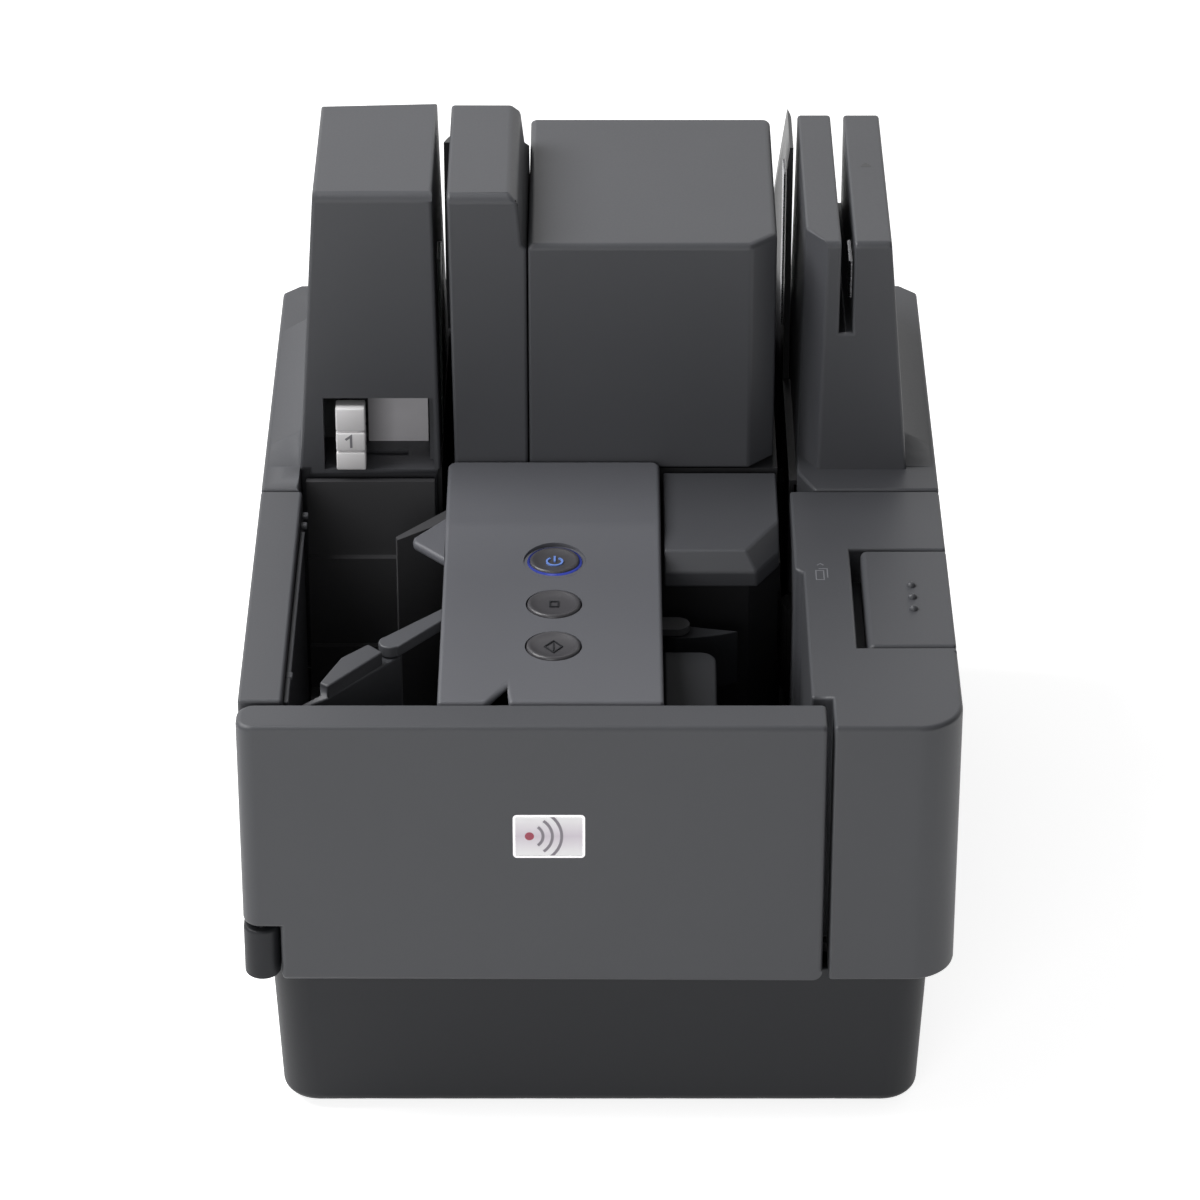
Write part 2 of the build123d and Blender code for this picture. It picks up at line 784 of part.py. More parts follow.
# Feed cover: the bevelled lid over the feeder frame, its right corner cut away at the channel.
cover_top = -0.6
bevel_drop = 4.6
bevel_reach = 3.0
cover_skirt = 4.2
feed_cover_front = feeder_front - 2.1
feed_cover_right = 44.4
with BuildPart() as feed_cover:
    with BuildSketch(Plane.XY.offset(over(cover_top))):
        Polygon(
            (console_right + seam, back(feed_cover_front)),
            (feed_cover_right - 8.5, back(feed_cover_front)),
            (feed_cover_right, back(feed_cover_front + 14.9)),
            (feed_cover_right, back(console_rear)),
            (console_right + seam, back(console_rear)),
        )
    with BuildSketch(Plane.XY.offset(over(cover_top - bevel_drop))):
        Polygon(
            (console_right + seam, back(feed_cover_front - bevel_reach)),
            (feed_cover_right - 5.8, back(feed_cover_front - bevel_reach)),
            (feed_cover_right, back(feed_cover_front + 7.0)),
            (feed_cover_right, back(console_rear)),
            (console_right + seam, back(console_rear)),
        )
    loft(ruled=True)
    extrude(feed_cover.faces().sort_by(Axis.Z)[0], amount=cover_skirt)
    with BuildSketch(Plane.XY.offset(over(cover_top - bevel_drop - cover_skirt))):
        Polygon(
            (console_right + seam + thin_wall, back(feed_cover_front + 0.8)),
            (feed_cover_right - 8.5, back(feed_cover_front + 0.8)),
            (feed_cover_right - thin_wall, back(feed_cover_front + 12.5)),
            (feed_cover_right - thin_wall, back(console_rear - thin_wall)),
            (console_right + seam + thin_wall, back(console_rear - thin_wall)),
        )
    extrude(amount=bevel_drop + cover_skirt - thin_wall, mode=Mode.SUBTRACT)
save(feed_cover.part, "feed_cover")

# Hopper pillar: a block against the pedestal, with a sloping top, that narrows the feeder bay.
pillar_width = 12.6
pillar_rear = front_length - 61.0
pillar_drop = 10.5
with BuildPart() as hopper_pillar:
    with BuildSketch(Plane.XY.offset(track_floor)):
        Polygon(
            (console_right + gap, back(tray_front + 1)),
            (console_right + gap + pillar_width, back(tray_front + 1)),
            (console_right + gap + pillar_width, back(pillar_rear)),
            (console_right + gap, back(pillar_rear)),
        )
    extrude(amount=track_depth - pillar_drop)
    fillet(hopper_pillar.edges().filter_by(Axis.Z).group_by(Axis.X)[-1].sort_by(Axis.Y)[-1], 4.0)
    with BuildSketch(Plane.YZ.offset(console_right)):
        Polygon(
            (back(tray_front), over(-pillar_drop - 9)),
            (back(pillar_rear - 8), over(-pillar_drop)),
            (back(pillar_rear - 8), over(0)),
            (back(tray_front), over(0)),
        )
    extrude(amount=pillar_width + 2, mode=Mode.SUBTRACT)
    with BuildSketch(Plane.XY.offset(track_floor)):
        Polygon(
            (console_right + gap + thin_wall, back(tray_front + 1 + thin_wall)),
            (console_right + gap + pillar_width - thin_wall, back(tray_front + 1 + thin_wall)),
            (console_right + gap + pillar_width - thin_wall, back(pillar_rear - 5)),
            (console_right + gap + thin_wall, back(pillar_rear - 5)),
        )
    extrude(amount=track_depth - pillar_drop - 9 - thin_wall, mode=Mode.SUBTRACT)
save(hopper_pillar.part, "hopper_pillar")

# Press arm: a crescent blade on a pin beside the pedestal, which presses the cheques against
# the feed roller.
with BuildPart() as press_arm:
    with BuildSketch(Plane.XY.offset(arm_low)):
        with BuildLine():
            ThreePointArc(
                (arm_x, arm_y - 3.2), (arm_x + arm_reach / 2, arm_y - 2.4), (arm_x + arm_reach, arm_y)
            )
            ThreePointArc(
                (arm_x + arm_reach, arm_y), (arm_x + arm_reach / 2, arm_y + 1.4), (arm_x, arm_y + 3.2)
            )
            Line((arm_x, arm_y + 3.2), (arm_x, arm_y - 3.2))
        make_face()
        with Locations((arm_x, arm_y)):
            Circle(3.2)
            Circle(arm_pin_radius + running_clearance, mode=Mode.SUBTRACT)
    extrude(amount=arm_high - arm_low)
save(press_arm.part, "press_arm")

# Stacker arm: a fixed bar from the pedestal out to the paddle's pin.
paddle_x = -50.5
paddle_y = back(47.5)
bar_rear = 60.5
bar_thickness = 3.0
paddle_high = over(-5.0)
paddle_low = over(-40.0)
with BuildPart() as stacker_arm:
    for level in (paddle_low - gap - bar_thickness, paddle_high - bar_thickness):
        with BuildSketch(Plane.XY.offset(level)):
            Polygon(
                (console_left, back(bar_rear + 3.0)),
                (console_left, back(bar_rear - 3.0)),
                (paddle_x + 2.0, paddle_y - 2.5),
                (paddle_x - 2.2, paddle_y + 1.6),
            )
            with Locations((paddle_x, paddle_y)):
                Circle(2.8)
        extrude(amount=bar_thickness)
    with BuildSketch(Plane.XY.offset(paddle_low - gap - bar_thickness)):
        with Locations((paddle_x, paddle_y)):
            Circle(arm_pin_radius)
    extrude(amount=paddle_high - paddle_low + gap + bar_thickness)
save(stacker_arm.part, "stacker_arm")

# Stack paddle: the sprung blade that holds the delivered cheques against the outer wall.
with BuildPart() as stack_paddle:
    with BuildSketch(Plane.XY.offset(paddle_low)):
        Polygon(
            (paddle_x - 2.4, paddle_y + 2.4),
            (paddle_x + 1.8, paddle_y - 2.2),
            (paddle_x - 14.0, paddle_y - 20.6),
            (paddle_x - 20.8, paddle_y - 25.6),
            (paddle_x - 21.4, paddle_y - 24.6),
            (paddle_x - 16.1, paddle_y - 19.0),
            (paddle_x - 11.5, paddle_y - 7.4),
        )
        with Locations((paddle_x, paddle_y)):
            Circle(2.8)
            Circle(arm_pin_radius + running_clearance, mode=Mode.SUBTRACT)
    extrude(amount=paddle_high - bar_thickness - gap - paddle_low)
    with BuildSketch(Plane.XY.offset(paddle_high - bar_thickness - gap)):
        Polygon(
            (paddle_x - 5.2, paddle_y - 1.0),
            (paddle_x - 1.6, paddle_y - 4.8),
            (paddle_x - 14.0, paddle_y - 20.6),
            (paddle_x - 16.1, paddle_y - 19.0),
            (paddle_x - 11.5, paddle_y - 7.4),
        )
    extrude(amount=bar_thickness + gap)
save(stack_paddle.part, "stack_paddle")


def track_bend(margin, front):
    """Plan area inside the U-shaped track, grown by a margin, behind a front plane."""
    left = left_track_x - margin
    right = right_track_x + margin
    rear = back(rear_track_setback) + margin
    with BuildSketch() as area:
        with Locations(((left + right) / 2, rear)):
            Rectangle(right - left, rear - back(front), align=(Align.CENTER, Align.MAX))
        fillet(area.vertices().group_by(Axis.Y)[-1], turn_radius + margin)
    return area.sketch


# Track floor behind the bays, with a hole for each roller shaft.
plate_front = bay_rear + gap
plate_posts = [
    (right_outer - 2, back(rear_track_setback - 10)),
    (left_outer + 2, back(rear_track_setback - 10)),
    (4, back(rear_track_setback - 15)),
]
guide_front = tower_top_rear + 1.4
guide_wall = 1.6
rear_left_edge = left_outer - guide_wall - 4.0
with BuildPart() as track_floor_plate:
    with BuildSketch(Plane.XY.offset(track_floor - wall)):
        Polygon(
            (left_outer, back(plate_front)),
            (right_outer, back(plate_front)),
            (right_outer, back(guide_front)),
            (right_outer + guide_wall, back(guide_front)),
            (right_outer + guide_wall, back(rear_track_setback + 4)),
            (left_outer - guide_wall, back(rear_track_setback + 4)),
            (left_outer - guide_wall, back(guide_front)),
            (left_outer, back(guide_front)),
        )
        for name in ("rear_right", "rear_left", "exit"):
            with Locations(roller_place(name)):
                Circle(shaft_radius + running_clearance, mode=Mode.SUBTRACT)
    extrude(amount=wall)
    with BuildSketch(Plane.XY.offset(frame_top)):
        with Locations(*plate_posts):
            Rectangle(4, 16)
    extrude(amount=track_floor - wall - frame_top)
save(track_floor_plate.part, "track_floor_plate")

# Island frame: the inner wall of the track, closed at deck level, with roller windows and an
# opening for the scan module.
with BuildPart() as island_frame:
    with BuildSketch(Plane.XY.offset(track_floor)):
        add(track_bend(-half_channel, plate_front))
    extrude(amount=track_depth)
    offset(
        amount=-thin_wall,
        openings=island_frame.faces().sort_by(Axis.Z)[0],
        kind=Kind.INTERSECTION,
    )
    for name, side in (("rear_right", 1), ("rear_left", -1), ("exit", -1)):
        wall_x = right_inner if side > 0 else left_inner
        with BuildSketch(Plane.YZ.offset(wall_x + side)):
            with Locations((roller_place(name)[1], (window_low + window_high) / 2)):
                Rectangle(2 * roller_radius + 2, window_high - window_low)
        extrude(amount=-side * (thin_wall + 2), mode=Mode.SUBTRACT)
        with BuildSketch(Plane.XY.offset(deck_height - thin_wall - 1)):
            with Locations(roller_place(name)):
                Circle(shaft_radius + running_clearance)
        extrude(amount=thin_wall, mode=Mode.SUBTRACT)
    with BuildSketch(Plane.XY.offset(track_floor)):
        with Locations((left_inner, back(module_setback))):
            Rectangle(2 * (module_depth + gap), module_length + 2 * gap)
    extrude(amount=track_depth, mode=Mode.SUBTRACT)
    with BuildSketch(Plane.XY.offset(track_floor)):
        with Locations((right_inner, back(module_setback))):
            Rectangle(6, head_width + 2 * gap)
    extrude(amount=head_height + gap, mode=Mode.SUBTRACT)
    with BuildSketch(Plane.XZ.offset(-back(box_hinge_setback - 1.6))):
        for lug_x in (box_left + 6.0, box_right - 12.0):
            with Locations((lug_x, over(box_hinge_rise / 2))):
                Rectangle(3.0, box_hinge_rise)
    extrude(amount=-3.2)
    with BuildSketch(Plane.YZ.offset(box_left + 4.5)):
        with Locations((back(box_hinge_setback), over(box_hinge_rise))):
            Circle(box_hinge_radius)
    extrude(amount=3.0)
    with BuildSketch(Plane.YZ.offset(box_right - 13.5)):
        with Locations((back(box_hinge_setback), over(box_hinge_rise))):
            Circle(box_hinge_radius)
    extrude(amount=3.0)
    with BuildSketch(Plane.YZ.offset(box_left)):
        with Locations((back(box_hinge_setback), over(box_hinge_rise))):
            Circle(box_pin_radius)
    extrude(amount=box_right - box_left, mode=Mode.SUBTRACT)
save(island_frame.part, "island_frame")

# Rear track guide: the outer wall of the U-turn, level with the deck except for a tall wing at
# the end of each side of the track. The wing of the exit side starts behind the left tower.
wing_height = right_tower_height
exit_wing_height = 54.0
exit_wing_right = left_inner + 3.0
wing_edge_front = right_inner + 0.2
wing_edge_top = right_outer + guide_wall - 0.9
with BuildPart() as rear_track_guide:
    with BuildSketch(Plane.XY.offset(track_floor)):
        add(track_bend(half_channel + guide_wall, guide_front))
        add(track_bend(half_channel, guide_front - 1), mode=Mode.SUBTRACT)
    extrude(amount=track_depth + wing_height)
    with BuildSketch(Plane.XZ.offset(-back(guide_front - 1))):
        Polygon(
            (exit_wing_right, over(-gap)),
            (box_right + gap, over(-gap)),
            (wing_edge_front, over(wing_height / 2)),
            (wing_edge_top, over(wing_height)),
            (wing_edge_top, over(wing_height + 1)),
            (-half, over(wing_height + 1)),
            (-half, over(exit_wing_height)),
            (exit_wing_right, over(exit_wing_height)),
        )
    extrude(amount=-(depth - guide_front), mode=Mode.SUBTRACT)
    with BuildSketch(Plane.XZ.offset(-back(guide_front - 1))):
        Polygon(
            (-half, over(-gap)),
            (exit_wing_right, over(-gap)),
            (exit_wing_right, over(exit_wing_height)),
            (-half, over(exit_wing_height)),
        )
    extrude(amount=-(tower_rear + 2.5 - guide_front), mode=Mode.SUBTRACT)
save(rear_track_guide.part, "rear_track_guide")

# Rear body: the fixed deck behind the track and the rear wall between the side units.
rear_body_left = rear_left_edge + gap
rear_body_right = right_tower_left - gap
with BuildPart() as rear_body:
    with BuildSketch(Plane.XY.offset(deck_height - wall)):
        Polygon(
            (rear_body_left, back(guide_front)),
            (rear_body_right, back(guide_front)),
            (rear_body_right, back(depth)),
            (rear_body_left, back(depth)),
        )
        add(track_bend(half_channel + guide_wall + running_clearance, guide_front - 1), mode=Mode.SUBTRACT)
    extrude(amount=wall)
    with BuildSketch(Plane.XY.offset(frame_top)):
        Polygon(
            (rear_body_left, back(depth - wall)),
            (rear_body_right, back(depth - wall)),
            (rear_body_right, back(depth)),
            (rear_body_left, back(depth)),
        )
    extrude(amount=deck_height - frame_top)
    fillet(rear_body.faces().sort_by(Axis.Z)[-1].edges().group_by(Axis.Y)[-1], 1.2)
save(rear_body.part, "rear_body")

# Mid tower: fixed on the island, its back sloping down, with a window for the scan module.
mid_tower_left = left_inner + gap
tower_chamfer = 5.0
slope_foot = 34.0
shelf_width = 1.2
cheek_lean = 0.9
cheek_edge = 2.2
hollow_left = mid_tower_left - channel_lean + thin_wall
hollow_rear = box_rear - thin_wall
hollow_corner_cut = tower_chamfer - 1.0
slope_inset = 2.0
with BuildPart() as mid_hollow:
    with BuildSketch(Plane.XY.offset(over(-1))):
        Polygon(
            (hollow_left, back(tower_setback + thin_wall)),
            (mid_tower_right - thin_wall, back(tower_setback + thin_wall)),
            (mid_tower_right - thin_wall, back(hollow_rear)),
            (hollow_left + hollow_corner_cut, back(hollow_rear)),
            (hollow_left, back(hollow_rear - hollow_corner_cut)),
        )
    extrude(amount=mid_tower_height - thin_wall + 1)
    with BuildSketch(Plane.XZ.offset(-back(tower_setback))):
        Polygon(
            (mid_tower_left + thin_wall, over(-1)),
            (hollow_left, over(mid_tower_height)),
            (mid_tower_right - shelf_width - cheek_lean - cheek_edge, over(mid_tower_height)),
            (mid_tower_right - shelf_width - cheek_lean - thin_wall, over(mid_tower_height - 4)),
            (mid_tower_right - shelf_width - thin_wall, over(box_height - shelf_width)),
            (mid_tower_right - thin_wall, over(box_height - 2 * shelf_width)),
            (mid_tower_right - thin_wall, over(-1)),
        )
    extrude(amount=-(box_rear - tower_setback), mode=Mode.INTERSECT)
    with BuildSketch(Plane.YZ.offset(hollow_left - 1)):
        Polygon(
            (back(tower_top_rear - slope_inset), over(mid_tower_height)),
            (back(box_rear - slope_inset), over(slope_foot)),
            (back(box_rear), over(slope_foot)),
            (back(box_rear), over(mid_tower_height)),
        )
    extrude(amount=mid_tower_right - hollow_left + 1, mode=Mode.SUBTRACT)
with BuildPart() as mid_tower:
    with BuildSketch(Plane.XY.offset(deck_height)):
        Polygon(
            (mid_tower_left - channel_lean, back(tower_setback)),
            (mid_tower_right, back(tower_setback)),
            (mid_tower_right, back(box_rear)),
            (mid_tower_left - channel_lean + tower_chamfer, back(box_rear)),
            (mid_tower_left - channel_lean, back(box_rear - tower_chamfer)),
        )
    extrude(amount=mid_tower_height)
    with BuildSketch(Plane.XZ.offset(-back(tower_setback - 1))):
        Polygon(
            (mid_tower_left, deck_height),
            (mid_tower_left - channel_lean, over(mid_tower_height)),
            (mid_tower_left - channel_lean - 1, over(mid_tower_height)),
            (mid_tower_left - channel_lean - 1, deck_height),
        )
        Polygon(
            (mid_tower_right, over(box_height - shelf_width)),
            (mid_tower_right - shelf_width, over(box_height)),
            (mid_tower_right - shelf_width - cheek_lean, over(mid_tower_height - cheek_edge)),
            (mid_tower_right - shelf_width - cheek_lean - cheek_edge, over(mid_tower_height)),
            (mid_tower_right + 1, over(mid_tower_height)),
            (mid_tower_right + 1, over(box_height - shelf_width)),
        )
    extrude(amount=-(box_rear - tower_setback + 2), mode=Mode.SUBTRACT)
    fillet(mid_tower.faces().sort_by(Axis.Z)[-1].edges().group_by(Axis.Y)[0], 2.4)
    with BuildSketch(Plane.YZ.offset(mid_tower_left - channel_lean - 1)):
        Polygon(
            (back(tower_top_rear), over(mid_tower_height)),
            (back(box_rear), over(slope_foot)),
            (back(box_rear + 1), over(mid_tower_height + 1)),
            (back(tower_top_rear), over(mid_tower_height + 1)),
        )
    extrude(amount=mid_tower_right - mid_tower_left + channel_lean + 2, mode=Mode.SUBTRACT)
    add(mid_hollow.part, mode=Mode.SUBTRACT)
    with BuildSketch(Plane.YZ.offset(mid_tower_left - channel_lean - 1)):
        with Locations((back(module_setback), deck_height)):
            Rectangle(module_length + 2 * gap, 2 * (module_rise + gap))
    extrude(amount=thin_wall + channel_lean + 2, mode=Mode.SUBTRACT)
save(mid_tower.part, "mid_tower")

# Box cover: the bevelled hood over the print cartridge, hinged along its lower rear edge.
with BuildPart() as box_cover:
    with BuildSketch(Plane.XY.offset(over(gap))):
        Polygon(
            (box_left, back(tower_setback)),
            (box_right - box_chamfer, back(tower_setback)),
            (box_right, back(tower_setback + box_chamfer)),
            (box_right, back(box_rear)),
            (box_left, back(box_rear)),
        )
    extrude(amount=box_height - gap)
    fillet(box_cover.edges().filter_by(Axis.Z).group_by(Axis.Y)[-1].sort_by(Axis.X)[-1], 2.0)
    fillet(box_cover.faces().sort_by(Axis.Z)[-1].edges(), 1.6)
    with BuildSketch(Plane.XY.offset(over(gap))):
        Polygon(
            (box_left + thin_wall, back(tower_setback + thin_wall)),
            (box_right - box_chamfer - 1, back(tower_setback + thin_wall)),
            (box_right - thin_wall, back(tower_setback + box_chamfer + 1)),
            (box_right - thin_wall, back(box_rear - thin_wall)),
            (box_left + thin_wall, back(box_rear - thin_wall)),
        )
    extrude(amount=box_height - gap - wall, mode=Mode.SUBTRACT)
    for ear_x in (box_left + 7.9, box_right - 16.9):
        with BuildSketch(Plane.YZ.offset(ear_x)):
            Polygon(
                (back(box_rear - 0.4), over(box_hinge_rise - 1.2)),
                (back(box_hinge_setback), over(box_hinge_rise - 1.2)),
                (back(box_hinge_setback), over(box_hinge_rise + box_hinge_radius)),
                (back(box_rear - 0.4), over(box_hinge_rise + box_hinge_radius + 1.6)),
            )
            with Locations((back(box_hinge_setback), over(box_hinge_rise))):
                Circle(box_hinge_radius)
                Circle(box_pin_radius + running_clearance, mode=Mode.SUBTRACT)
        extrude(amount=3.0)
save(box_cover.part, "box_cover")

# Print cartridge under the box cover, its nozzle face looking through the island towards the
# feed side of the track.
cartridge_left = box_left + 31.8
cartridge_right = box_right - thin_wall - 1.5
cartridge_front = tower_setback + 16.3
cartridge_length = 40.0
cartridge_height = 34.0
nozzle_height = 6.0
with BuildPart() as print_cartridge:
    with BuildSketch(Plane.XY.offset(over(gap))):
        Polygon(
            (cartridge_left, back(cartridge_front)),
            (cartridge_right, back(cartridge_front)),
            (cartridge_right, back(cartridge_front + cartridge_length)),
            (cartridge_left, back(cartridge_front + cartridge_length)),
        )
    extrude(amount=cartridge_height)
    fillet(print_cartridge.edges().filter_by(Axis.Z), 2.0)
    with BuildSketch(Plane.XY.offset(over(gap + cartridge_height))):
        with Locations(((cartridge_left + cartridge_right) / 2, back(cartridge_front + cartridge_length / 2))):
            Rectangle(18, 10)
    extrude(amount=nozzle_height)
save(print_cartridge.part, "print_cartridge")


def ear(side, setback):
    """Pivot ear of a side unit, from the side wall to the pivot axis."""
    with BuildPart() as shape:
        with BuildSketch(Plane.XZ.offset(-back(setback))):
            Polygon(
                (side * (half - wall + 0.4), pivot_z - pivot_lug_radius),
                (side * (half - wall + 0.4), pivot_z + pivot_lug_radius + 3),
                (side * pivot_x, pivot_z + pivot_lug_radius),
                (side * pivot_x, pivot_z - pivot_lug_radius),
            )
            with Locations((side * pivot_x, pivot_z)):
                Circle(pivot_lug_radius)
                Circle(pivot_pin_radius + running_clearance, mode=Mode.SUBTRACT)
        extrude(amount=-lug_thickness)
    return shape.part



def skirt_profile(side, tower_side, rise):
    """Section of the slope between a unit's outer edge and the foot of its tower."""
    outer = side * (half - 1.2)
    inner = tower_side - side * 1.6
    with BuildSketch() as profile:
        Polygon(
            (outer, deck_height),
            (outer - side * skirt_reach, over(rise)),
            (inner, over(rise)),
            (inner, deck_height),
        )
    return profile.sketch


# Left unit: side wall, deck strip, skirt and tower in one shell, which tilts outwards about the
# pivots low on its side wall.
unit_front = front_length + gap
left_shell_right = left_outer - 1.0
left_unit_front = bay_rear + 2.4
left_side_x = flange_right - seam
rear_cut = 4.5
with BuildPart() as left_unit:
    with BuildSketch(Plane.XY.offset(unit_bottom)):
        Polygon(
            (-half, back(unit_front)),
            (left_side_x, back(unit_front)),
            (left_side_x, back(left_unit_front)),
            (left_shell_right, back(left_unit_front)),
            (left_shell_right, back(guide_front - gap)),
            (rear_left_edge, back(guide_front - gap)),
            (rear_left_edge, back(depth)),
            (-half + rear_cut, back(depth)),
            (-half, back(depth - rear_cut)),
        )
    extrude(amount=deck_height - unit_bottom)
    with BuildSketch(Plane.XY.offset(unit_bottom)):
        Polygon(
            (-half + wall, back(unit_front + wall)),
            (left_side_x - wall, back(unit_front + wall)),
            (left_side_x - wall, back(left_unit_front + wall)),
            (left_shell_right - thin_wall, back(left_unit_front + wall)),
            (left_shell_right - thin_wall, back(guide_front - gap - thin_wall)),
            (rear_left_edge - thin_wall, back(guide_front - gap - thin_wall)),
            (rear_left_edge - thin_wall, back(depth - wall)),
            (-half + rear_cut + 1, back(depth - wall)),
            (-half + wall, back(depth - rear_cut - 1)),
        )
    extrude(amount=deck_height - unit_bottom - wall, mode=Mode.SUBTRACT)
    with BuildSketch(Plane.XY.offset(unit_bottom)):
        Polygon(
            (-half + wall + 4, back(unit_front - 1)),
            (left_shell_right + 1, back(unit_front - 1)),
            (left_shell_right + 1, back(depth - wall)),
            (-half + wall + 4, back(depth - wall)),
        )
    extrude(amount=track_floor + gap - unit_bottom, mode=Mode.SUBTRACT)
    with BuildSketch(Plane.XY.offset(deck_height)):
        Polygon(
            (left_tower_left, back(tower_setback)),
            (left_tower_right, back(tower_setback)),
            (left_tower_right, back(tower_rear)),
            (left_tower_left, back(tower_rear)),
        )
    with BuildSketch(Plane.XY.offset(over(left_tower_height))):
        Polygon(
            (left_tower_left + left_tower_lean, back(tower_setback)),
            (left_tower_right - channel_lean, back(tower_setback)),
            (left_tower_right - channel_lean, back(tower_top_rear)),
            (left_tower_left + left_tower_lean, back(tower_top_rear - 1.6)),
        )
    loft(ruled=True)
    fillet(left_unit.faces().sort_by(Axis.Z)[-1].edges().group_by(Axis.Y)[0], 2.4)
    with BuildSketch(Plane.XZ.offset(-back(tower_setback + 1.5))):
        add(skirt_profile(-1, left_tower_left, 0.2))
    with BuildSketch(Plane.XZ.offset(-back(tower_setback + 1.5 + skirt_ramp))):
        add(skirt_profile(-1, left_tower_left, skirt_height))
    loft(ruled=True)
    with BuildSketch(Plane.XZ.offset(-back(tower_setback + 1.5 + skirt_ramp))):
        add(skirt_profile(-1, left_tower_left, skirt_height))
    extrude(amount=-(tower_rear - tower_setback - 1.5 - skirt_ramp))
    with BuildSketch(Plane.XY.offset(over(-wall - 0.1))):
        Polygon(
            (left_tower_left + wall, back(left_unit_front + wall)),
            (left_tower_right - thin_wall - 1, back(left_unit_front + wall)),
            (left_tower_right - thin_wall - 1, back(tower_rear - wall - 2)),
            (left_tower_left + wall, back(tower_rear - wall - 2)),
        )
    with BuildSketch(Plane.XY.offset(over(left_tower_height - wall))):
        Polygon(
            (left_tower_left + left_tower_lean + wall, back(tower_setback + wall)),
            (left_tower_right - channel_lean - thin_wall, back(tower_setback + wall)),
            (left_tower_right - channel_lean - thin_wall, back(tower_top_rear - wall)),
            (left_tower_left + left_tower_lean + wall, back(tower_top_rear - 1.6 - wall)),
        )
    loft(ruled=True, mode=Mode.SUBTRACT)
    with BuildSketch(Plane.XZ.offset(-back(tower_setback - 1))):
        Polygon(
            (window_left, deck_height),
            (window_right, deck_height),
            (window_right, over(window_height)),
            (window_left, over(window_height)),
        )
    extrude(amount=-(wall + 4), mode=Mode.SUBTRACT)
    with BuildSketch(Plane.XY.offset(over(-thin_wall))):
        Polygon(
            (left_tower_left + wall, back(tower_setback)),
            (left_shell_right, back(tower_setback)),
            (left_shell_right, back(tower_setback + window_depth + 2)),
            (left_tower_left + wall, back(tower_setback + window_depth + 2)),
        )
    extrude(amount=thin_wall)
    with BuildSketch(Plane.XY.offset(track_floor)):
        Polygon(
            (rear_left_edge, back(guide_front - gap)),
            (left_inner, back(guide_front - gap)),
            (left_inner, back(depth)),
            (rear_left_edge, back(depth)),
        )
    extrude(amount=track_depth + gap, mode=Mode.SUBTRACT)
    with BuildSketch(Plane.XY.offset(track_floor + module_foot)):
        with Locations((left_inner, back(module_setback))):
            Rectangle(16, module_length + 2 * gap)
    extrude(amount=over(module_rise) - track_floor - 2 * module_foot, mode=Mode.SUBTRACT)
    with BuildSketch(Plane.YZ.offset(left_inner)):
        with Locations((back(rear_roller_setback), (window_low + window_high) / 2)):
            Rectangle(pinch_window, window_high - window_low)
    extrude(amount=-8, mode=Mode.SUBTRACT)
    with BuildSketch(Plane.XY.offset(over(-groove_depth))):
        Polygon(
            (lever_left + 2 - gap, back(groove_setback)),
            (lever_left + lever_width - 2 + lever_travel + gap, back(groove_setback)),
            (lever_left + lever_width - 2 + lever_travel + gap, back(groove_setback + groove_width)),
            (lever_left + 2 - gap, back(groove_setback + groove_width)),
        )
    extrude(amount=groove_depth, mode=Mode.SUBTRACT)
    for lug in (front_lug + lug_thickness + gap, rear_lug - lug_thickness - gap):
        add(ear(-1, lug))
save(left_unit.part, "left_unit")

